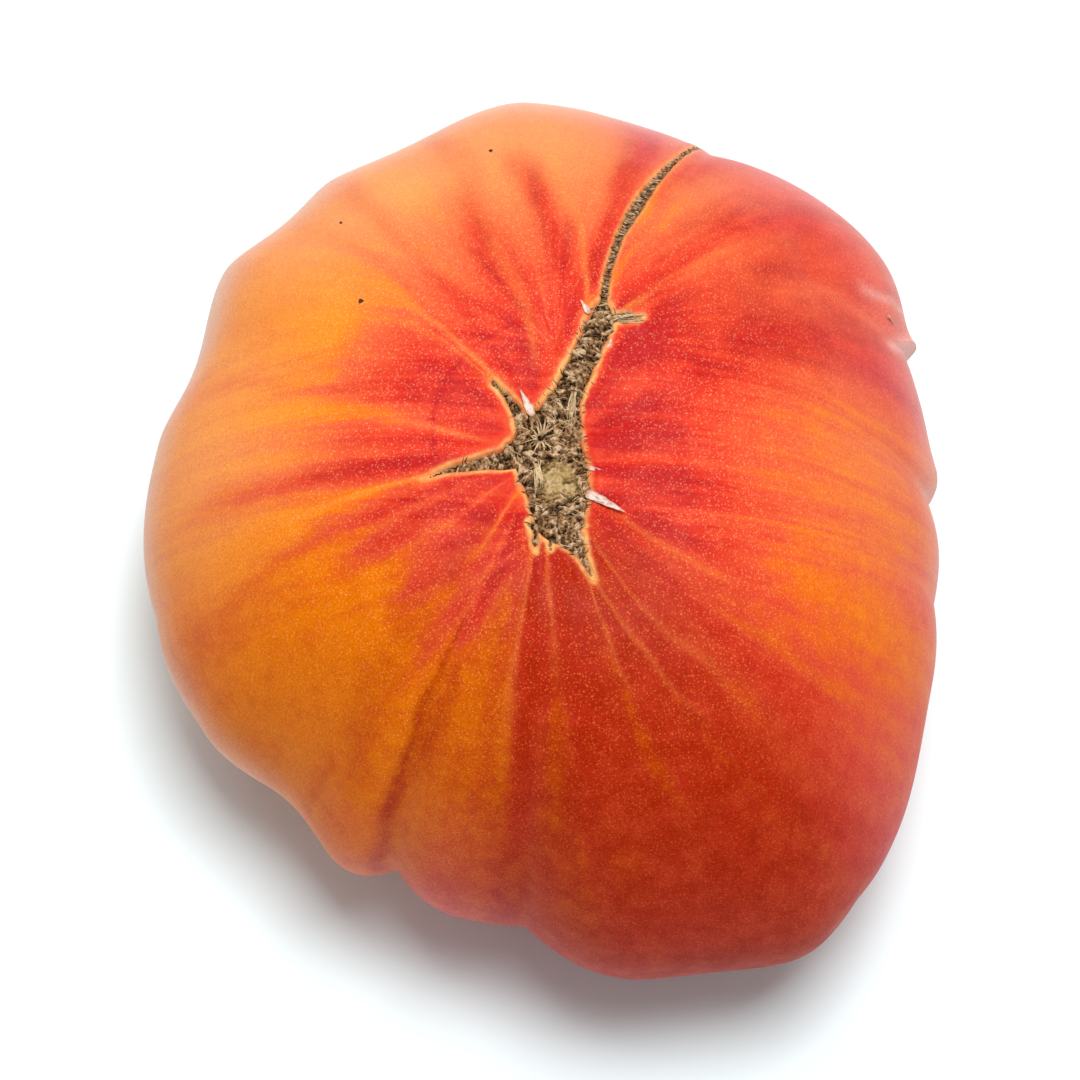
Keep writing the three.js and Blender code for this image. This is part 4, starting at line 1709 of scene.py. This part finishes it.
RIDGE_FIBRE = Fibre((0.0, 0.4, 0.05), (0.11, 0.11), (0.7, 1.0, 1.0), (-0.2, 0.2))
SPUR_FIBRE = Fibre((-0.2, 0.14, 0.04), (0.05, 0.11), (0.45, 1.0, 1.0), (-0.3, 0.3))
SHOULDER_FIBRE = Fibre((-0.2, 0.12, 0.0), (0.1, 0.1), (0.6, 1.0, 1.0), (-0.25, 0.25))


def pick(chance: Chance, span: Span) -> float:
    """Draws a value from a span, or takes the value of a span without length, which needs no draw."""
    return span[0] if span[0] == span[1] else chance.uniform(*span)


@dataclass
class Strands:
    """Dry fibres on the scars: the style's star, whiskers along the edges and wrinkles on the crust."""

    plan: ScarPlan
    terrain: Terrain
    cork: Cork
    seed: int = 4
    sides: int = 4
    sections: int = 5
    tip_share: float = 0.15
    flatness: float = 1.3
    star_count: int = 28
    star_root: float = 0.35
    star_least: float = 1.2
    star_more: float = 2.4
    star_fibre: Fibre = Fibre((-0.7, 0.0, 0.05), (0.06, 0.17), (0.4, 1.0, 0.7), (-0.3, 0.3))
    edge_spacing: float = 0.3
    edge_inset: float = 0.35
    edge_buried: float = 0.6
    edge_least_half: float = 0.85
    edge_bare: float = 0.78
    edge_lean: Span = (-0.9, 1.3)
    edge_length: Span = (0.45, 1.2)
    edge_fibre: Fibre = Fibre((-0.3, 0.1, 0.08), (0.05, 0.11), (0.15, 0.95, 2.0), (-0.1, 0.1))
    rung_spacing: float = 0.37
    rung_lean: Span = (-0.5, 0.5)
    rung_half: Span = (0.6, 1.0)
    rung_extra: Span = (0.0, 0.8)
    rung_long: int = 4
    rung_shift: Span = (-0.15, 0.15)
    rung_fibre: Fibre = Fibre((-0.02, 0.06, 0.02), (0.06, 0.12), (0.1, 0.85, 1.0), (0.05, 0.05))
    wrinkle_count: int = 420
    wrinkle_x: Span = (-12.0, 9.5)
    wrinkle_y: Span = (-15.5, 19.5)
    wrinkle_inset: float = 0.35
    wrinkle_spread: float = 0.55
    wrinkle_half: Span = (0.3, 1.1)
    wrinkle_fibre: Fibre = Fibre((-0.03, 0.05, 0.0), (0.03, 0.09), (0.05, 0.85, 1.8), (-0.35, 0.35))
    tufts: tuple[Tuft, ...] = (
        Tuft(16, (-1.7, -0.6), (-2.2, -0.8), (-1.4, 0.1), (-5.9, -4.0), False, RIDGE_FIBRE),
        Tuft(26, (8.2, 10.4), (17.2, 18.3), (1.0, 3.8), (-0.8, 1.0), True, SPUR_FIBRE),
        Tuft(14, (3.0, 3.9), (6.6, 8.9), (2.6, 3.6), (2.6, 5.4), False, SHOULDER_FIBRE),
    )
    scratch: tuple[Span, Span] = ((45.2, 27.5), (46.0, 26.8))
    scratch_lifts: Triple = (-0.09, -0.03, -0.09)
    points: list[Array] = field(default_factory=list)
    tones: list[Array] = field(default_factory=list)
    faces: Faces = field(default_factory=list)

    def strand(
        self, start: Array, end: Array, lifts: Triple, radius: float, tone: float, bend: float
    ) -> None:
        """Adds one tapering fibre.

        Args:
            start: its root on the plan.
            end: its tip on the plan.
            lifts: how far its root, middle and tip stand off the bare form.
            radius: half its thickness at the root.
            tone: its colour, from 0 dark to 1 pale.
            bend: how far its middle bows to the side.
        """
        run = np.linspace(0.0, 1.0, self.sections)
        heading = (end - start) / max(float(np.hypot(*(end - start))), 1e-6)
        beside = np.array([-heading[1], heading[0]])
        bow = bend * 4.0 * run * (1.0 - run)
        line = start + np.outer(run, end - start) + np.outer(bow, beside)
        lift = np.interp(run, (0.0, 0.5, 1.0), lifts)
        thick = radius * (1.0 - (1.0 - self.tip_share) * run**1.5)
        base = sum(len(part) for part in self.points)
        rings = []
        for side in range(self.sides):
            angle = 2 * math.pi * (side + 0.5) / self.sides
            spot = line + np.outer(thick * math.cos(angle) * self.flatness, beside)
            rings.append(self.terrain.place(spot[:, 0], spot[:, 1], lift + thick * math.sin(angle)))
        self.points.append(np.stack(rings, axis=1).reshape(-1, 3))
        self.tones.append(np.full(self.sections * self.sides, tone))
        for k in range(self.sections - 1):
            for side in range(self.sides):
                after = (side + 1) % self.sides
                low, high = base + k * self.sides, base + (k + 1) * self.sides
                self.faces.append((low + side, low + after, high + after, high + side))
        last = base + (self.sections - 1) * self.sides
        self.faces.append(tuple(base + side for side in reversed(range(self.sides))))
        self.faces.append(tuple(last + side for side in range(self.sides)))

    def grow(self, chance: Chance, fibre: Fibre, start: Array, end: Array, lifts: Triple) -> None:
        """Adds one fibre of a kind.

        Args:
            chance: what its thickness, tone and bow are drawn from, in that order.
            fibre: its kind.
            start: its root on the plan.
            end: its tip on the plan.
            lifts: how far its root, middle and tip stand off the bare form.
        """
        darkest, palest, power = fibre.tone
        radius = pick(chance, fibre.radius)
        tone = darkest + (palest - darkest) * chance.uniform() ** power
        self.strand(start, end, lifts, radius, tone, pick(chance, fibre.bend))

    def grow_star(self, chance: Chance) -> None:
        """Adds the star of pale fibres round the style's dark cup.

        Args:
            chance: what the sizes are drawn from.
        """
        centre, fibre = np.array(self.plan.star), self.star_fibre
        for k in range(self.star_count):
            angle = 2 * math.pi * (k + 0.5 * chance.uniform(-1, 1)) / self.star_count
            heading = np.array([math.cos(angle), math.sin(angle)])
            reach = self.star_least + self.star_more * chance.uniform() ** 1.3
            self.grow(chance, fibre, centre + self.star_root * heading, centre + reach * heading, fibre.lifts)

    def grow_edges(self, chance: Chance) -> None:
        """Adds whiskers along both edges of every branch.

        Args:
            chance: what the sizes are drawn from.
        """
        steps = [row for chain in self.plan.branches for row in along_chain(chain, self.edge_spacing)]
        for x, y, half, east, north in steps:
            for side in (-1.0, 1.0):
                beside = side * np.array([-north, east])
                edge = np.array([x, y]) + beside * (half - self.edge_inset)
                buried = self.plan.cork_distance(edge[:1], edge[1:])[0] < -self.edge_buried
                if buried or half < self.edge_least_half or chance.uniform() < self.edge_bare:
                    continue
                heading = beside + chance.uniform(*self.edge_lean) * np.array([east, north])
                heading /= np.hypot(*heading)
                tip = edge + heading * chance.uniform(*self.edge_length)
                self.grow(chance, self.edge_fibre, edge, tip, self.edge_fibre.lifts)

    def grow_rungs(self, chance: Chance) -> None:
        """Adds the tan ridges that cross the zipper and stick out past its edges, as far as the rim.

        Args:
            chance: what the sizes are drawn from.
        """
        for k, (x, y, half, east, north) in enumerate(along_chain(self.plan.zipper, self.rung_spacing)):
            heading = np.array([-north, east]) + chance.uniform(*self.rung_lean) * np.array([east, north])
            reach = half * chance.uniform(*self.rung_half, 2)
            if k % self.rung_long == 0:
                reach = reach + chance.uniform(*self.rung_extra, 2)
            middle = np.array([x, y]) + chance.uniform(*self.rung_shift, 2)
            if not self.terrain.covers(1.02 * x, 1.02 * y):
                continue
            for end in (middle - heading * reach[0], middle + heading * reach[1]):
                self.grow(chance, self.rung_fibre, middle, end, self.rung_fibre.lifts)

    def across(self, spot: Array) -> float:
        """Returns the angle, in radians, that runs across the branch at a place of the plan.

        Args:
            spot: the place, as one row of x and y.

        Returns:
            The angle in radians.
        """
        nudge = 0.2
        here, east, north = (
            float(self.plan.flow(spot[:, 0] + dx, spot[:, 1] + dy)[0][0])
            for dx, dy in ((0.0, 0.0), (nudge, 0.0), (0.0, nudge))
        )
        return math.atan2(north - here, east - here) + math.pi / 2

    def grow_wrinkles(self, chance: Chance) -> None:
        """Adds torn wrinkles over the crust, mostly across its branches, off the star and the patch.

        Args:
            chance: what the sizes are drawn from.
        """
        placed, fibre = 0, self.wrinkle_fibre
        while placed < self.wrinkle_count:
            spot = np.array([[chance.uniform(*self.wrinkle_x), chance.uniform(*self.wrinkle_y)]])
            if self.plan.cork_distance(spot[:, 0], spot[:, 1])[0] > -self.wrinkle_inset:
                continue
            placed += 1
            smooth = self.cork.patch_share(spot[:, 0], spot[:, 1])[0] > chance.uniform()
            if smooth or math.dist(spot[0], self.plan.star) < self.plan.star_radius:
                continue
            angle = self.across(spot) + chance.normal(0.0, self.wrinkle_spread)
            step = np.array([math.cos(angle), math.sin(angle)]) * chance.uniform(*self.wrinkle_half)
            ends = np.stack([spot[0] - step, spot[0] + step, spot[0]])
            root, tip, middle = self.cork.shape(ends[:, 0], ends[:, 1])[0]
            lifts = (root + fibre.lifts[0], middle + fibre.lifts[1], tip + fibre.lifts[2])
            self.grow(chance, fibre, ends[0], ends[1], lifts)

    def grow_tufts(self, chance: Chance) -> None:
        """Adds the ridge beside the green patch, the spur's and the shoulder's fibres, and a scratch.

        Args:
            chance: what the sizes are drawn from.
        """
        for tuft in self.tufts:
            for _ in range(tuft.count):
                start = np.array([chance.uniform(*tuft.root_x), chance.uniform(*tuft.root_y)])
                end = np.array([chance.uniform(*tuft.tip_x), chance.uniform(*tuft.tip_y)])
                end = start + end if tuft.tip_from_root else end
                self.grow(chance, tuft.fibre, start, end, tuft.fibre.lifts)
        start, end = (np.array(place) for place in self.scratch)
        self.strand(start, end, self.scratch_lifts, 0.13, 0.75, 0.05)

    def build(self) -> Piece:
        """Builds all the fibres as one piece.

        Returns:
            The fibres' piece.
        """
        chance = np.random.default_rng(self.seed)
        self.grow_star(chance)
        self.grow_edges(chance)
        self.grow_rungs(chance)
        self.grow_wrinkles(chance)
        self.grow_tufts(chance)
        finish = StrawFinish("scar fibres")
        piece = build_mesh("scar_fibres", np.vstack(self.points), self.faces, finish.make())
        add_values(piece, "tone", np.concatenate(self.tones))
        return piece


@dataclass
class Flakes:
    """Papery slivers of dry skin that stand up at the scar's edge, and three dark specks."""

    terrain: Terrain
    # root and tip on the plan, half width, lift of the root and of the tip
    slivers: Chain = (
        (5.0, -5.2, 9.9, -8.2, 0.55, 0.1, 0.5),
        (5.0, -5.6, 7.4, -6.9, 0.35, 0.2, 0.6),
        (5.4, -2.0, 7.0, -2.4, 0.28, 0.1, 0.3),
        (-1.6, 4.9, -3.2, 8.2, 0.5, 0.1, 0.4),
        (5.5, 18.1, 4.4, 19.9, 0.34, 0.35, 0.6),
        (7.7, 12.9, 8.3, 14.9, 0.3, 0.0, 0.3),
    )
    sections: int = 15
    across: int = 7
    thickness: float = 0.07
    torn: float = 0.1
    ripple: float = 0.05
    cupped: float = 0.22
    # place on the plan and radius
    specks: tuple[Triple, ...] = ((-7.1, 45.0, 0.26), (-26.5, 35.7, 0.19), (-23.4, 21.4, 0.34))
    # share of the radius and lift of each of a speck's rings
    speck_rings: tuple[Span, ...] = ((1.0, -0.12), (0.95, 0.02), (0.6, 0.1))
    speck_sides: int = 12
    speck_unevenness: float = 0.18

    def build(self) -> list[Piece]:
        """Builds the slivers and the specks.

        Returns:
            The two pieces.
        """
        return [self.build_slivers(), self.build_specks()]

    def build_slivers(self) -> Piece:
        """Builds the slivers, each a thin closed leaf that curls.

        Returns:
            The piece.
        """
        points, tones, faces = [], [], []
        rows, columns = np.linspace(0, 1, self.sections), np.linspace(-1, 1, self.across)
        run, side = np.meshgrid(rows, columns, indexing="ij")
        grid = np.arange(run.size).reshape(run.shape)
        quads = np.stack([grid[:-1, :-1], grid[1:, :-1], grid[1:, 1:], grid[:-1, 1:]], axis=-1).reshape(-1, 4)
        rim = np.concatenate([grid[0, :], grid[1:, -1], grid[-1, -2::-1], grid[-2:0:-1, 0]]).tolist()
        shade = (0.95 - 0.5 * np.exp(-run * 6.0)).ravel()
        for x0, y0, x1, y1, half, low, high in self.slivers:
            length = math.hypot(x1 - x0, y1 - y0)
            heading = np.array([x1 - x0, y1 - y0]) / length
            torn = 1.0 + self.torn * np.sin(23.0 * run + 7.0 * half) * np.sign(side)
            width = half * (np.sin(math.pi * np.clip(run * 0.93 + 0.07, 0, 1) ** 0.6) + 0.04) * torn
            x = x0 + run * length * heading[0] - side * width * heading[1]
            y = y0 + run * length * heading[1] + side * width * heading[0]
            ripple = self.ripple * np.sin(9.0 * run + 2.0 * side)
            lift = low + (high - low) * run**1.4 + self.cupped * half * side**2 + ripple
            base = sum(len(part) for part in points)
            top = self.terrain.place(x.ravel(), y.ravel(), lift.ravel())
            under = self.terrain.place(x.ravel(), y.ravel(), lift.ravel() - self.thickness)
            faces += (quads[:, ::-1] + base).tolist() + (quads + base + run.size).tolist()
            for here, after in zip(rim, rim[1:] + rim[:1]):
                faces.append((base + here, base + after, base + after + run.size, base + here + run.size))
            points += [top, under]
            tones += [shade, shade]
        piece = build_mesh("scar_flakes", np.vstack(points), faces, PaperFinish().make())
        add_values(piece, "tone", np.concatenate(tones))
        return piece

    def build_specks(self) -> Piece:
        """Builds the specks, each a low dome of dried sap.

        Returns:
            The piece.
        """
        points, faces = [], []
        sides, layers = self.speck_sides, len(self.speck_rings) - 1
        angles = np.arange(sides) * 2 * math.pi / sides
        for x, y, radius in self.specks:
            base = sum(len(part) for part in points)
            uneven = radius * (1.0 + self.speck_unevenness * np.sin(3 * angles + x))
            for share, lift in self.speck_rings:
                east, north = x + share * uneven * np.cos(angles), y + share * uneven * np.sin(angles)
                points.append(self.terrain.place(east, north, np.full(sides, lift)))
            for low in range(base, base + layers * sides, sides):
                for k in range(sides):
                    after = (k + 1) % sides
                    faces.append((low + k, low + after, low + sides + after, low + sides + k))
            faces.append(tuple(base + layers * sides + k for k in range(sides)))
            faces.append(tuple(base + k for k in reversed(range(sides))))
        finish = StrawFinish("dry specks", dark=(0.05, 0.004, 0.002), brown=(0.10, 0.012, 0.006))
        piece = build_mesh("skin_specks", np.vstack(points), faces, finish.make())
        add_values(piece, "tone", np.full(len(piece.data.vertices), 0.1))
        return piece


@dataclass
class StalkScar:
    """The round cork scar of the stalk in the hollow underneath."""

    radius: float = 6.6
    level: float = 11.7
    top: float = 13.6
    rings: int = 26
    columns: int = 96
    ridge: float = 0.12
    ridge_turns: float = 4.2
    lump: float = 0.22
    pith: float = 0.5
    pith_radius: float = 1.4
    edge: float = 0.9
    moss: float = 0.25
    lumps: Unevenness = Unevenness(61)

    def build(self) -> Piece:
        """Builds the scar as a closed disc with rings and lumps.

        Returns:
            The scar's piece.
        """
        radii = np.linspace(0.0, self.radius, self.rings + 1)[1:]
        turns = np.arange(self.columns) * 2 * math.pi / self.columns
        ring, angle = np.meshgrid(radii, turns, indexing="ij")
        x, y = ring * np.cos(angle), ring * np.sin(angle)
        ridges = self.ridge * np.cos(ring * self.ridge_turns + 1.2 * self.lumps.at(x, y, 2.0))
        rough = self.lump * self.lumps.rough(x, y, 1.1) + ridges
        pith = self.pith * np.exp(-((ring / self.pith_radius) ** 2))
        rise = self.edge * ease(ring, self.radius * 0.8, self.radius)
        face = np.stack([x, y, self.level - rough - pith + rise], axis=-1).reshape(-1, 3)
        back = np.stack([x, y, np.full(x.shape, self.top)], axis=-1).reshape(-1, 3)
        points = np.vstack([face, back, [[0.0, 0.0, self.level - self.pith], [0.0, 0.0, self.top]]])
        grid, total = np.arange(x.size).reshape(x.shape), x.size
        ahead = np.roll(grid, -1, axis=1)
        quads = np.stack([grid[:-1], ahead[:-1], ahead[1:], grid[1:]], axis=-1).reshape(-1, 4)
        faces = quads.tolist() + (quads[:, ::-1] + total).tolist()
        for k in range(self.columns):
            here, after = int(grid[0, k]), int(ahead[0, k])
            outer, outer_after = int(grid[-1, k]), int(ahead[-1, k])
            faces.append((2 * total, after, here))
            faces.append((2 * total + 1, here + total, after + total))
            faces.append((outer, outer_after, outer_after + total, outer + total))
        scar = build_mesh("stalk_scar", points, faces, CorkFinish("stalk scar cork").make())
        tone = np.clip(0.5 + 0.8 * rough.ravel(), 0.0, 1.0)
        add_values(scar, "tone", np.concatenate([tone, tone, [0.3, 0.3]]))
        add_values(scar, "moss", np.full(len(points), self.moss))
        return scar


@dataclass
class Camera:
    """The photograph's view: from the front and well above."""

    elevation: float = 72.0
    distance: float = 592.0
    lens: float = 150.0
    sensor: float = 36.0
    aim: Triple = (-0.7, -0.6, 34.0)
    clip: Span = (0.01, 10.0)

    def build(self) -> None:
        """Places the camera and makes it the scene's."""
        data = bpy.data.cameras.new("view")
        data.lens = self.lens
        data.sensor_width = self.sensor
        data.clip_start, data.clip_end = self.clip
        camera = bpy.data.objects.new("view", data)
        bpy.context.scene.collection.objects.link(camera)
        target = Vector((self.aim[0] + SCAR_PLACE[0], self.aim[1] + SCAR_PLACE[1], self.aim[2])) * MM
        tilt = math.radians(self.elevation)
        back = Vector((0.0, -math.cos(tilt), math.sin(tilt)))
        camera.location = target + back * self.distance * MM
        camera.rotation_euler = back.to_track_quat("Z", "Y").to_euler()
        bpy.context.scene.camera = camera


@dataclass
class Studio:
    """A white floor, a soft surround and large soft lamps."""

    floor_size: float = 6.0
    surround: float = 0.34
    lamps: tuple[tuple[str, Colour, float, float], ...] = (
        ("key lamp", (0.12, 0.08, 1.18), 0.42, 12.0),
        ("back lamp", (-0.1, 0.7, 1.25), 1.0, 4.5),
    )

    def build(self) -> None:
        """Builds the floor, the surround and the lamps."""
        scene = bpy.context.scene
        scene.view_settings.view_transform = "Standard"
        world = bpy.data.worlds.new("surround")
        world.use_nodes = True
        glow = world.node_tree.nodes["Background"].inputs
        glow["Color"].default_value = (1.0, 1.0, 1.0, 1.0)
        glow["Strength"].default_value = self.surround
        scene.world = world
        half = self.floor_size / 2
        mesh = bpy.data.meshes.new("floor")
        corners = [(-half, -half, 0), (half, -half, 0), (half, half, 0), (-half, half, 0)]
        mesh.from_pydata(corners, [], [(0, 1, 2, 3)])
        mesh.materials.append(FloorFinish().make())
        floor = bpy.data.objects.new("floor", mesh)
        scene.collection.objects.link(floor)
        for name, place, size, power in self.lamps:
            data = bpy.data.lights.new(name, "AREA")
            data.size = size
            data.energy = power
            lamp = bpy.data.objects.new(name, data)
            lamp.location = place
            lamp.rotation_euler = Vector(place).to_track_quat("Z", "Y").to_euler()
            scene.collection.objects.link(lamp)


def main() -> None:
    """Builds the fruit, the floor, the lamps and the camera."""
    logging.basicConfig(level=logging.INFO, format="%(name)s: %(message)s")
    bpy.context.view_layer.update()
    form, plan = FruitForm(), ScarPlan()
    terrain = Terrain(form)
    cork = Cork(plan, terrain)
    pieces = [
        Skin(form, Relief(plan), SkinColours(plan)).build(),
        cork.build(),
        Strands(plan, terrain, cork).build(),
        *Flakes(terrain).build(),
        StalkScar().build(),
    ]
    for piece in pieces:
        log.info("%s: %d faces", piece.name, len(piece.data.polygons))
    Studio().build()
    Camera().build()


if __name__ == "__main__":
    main()
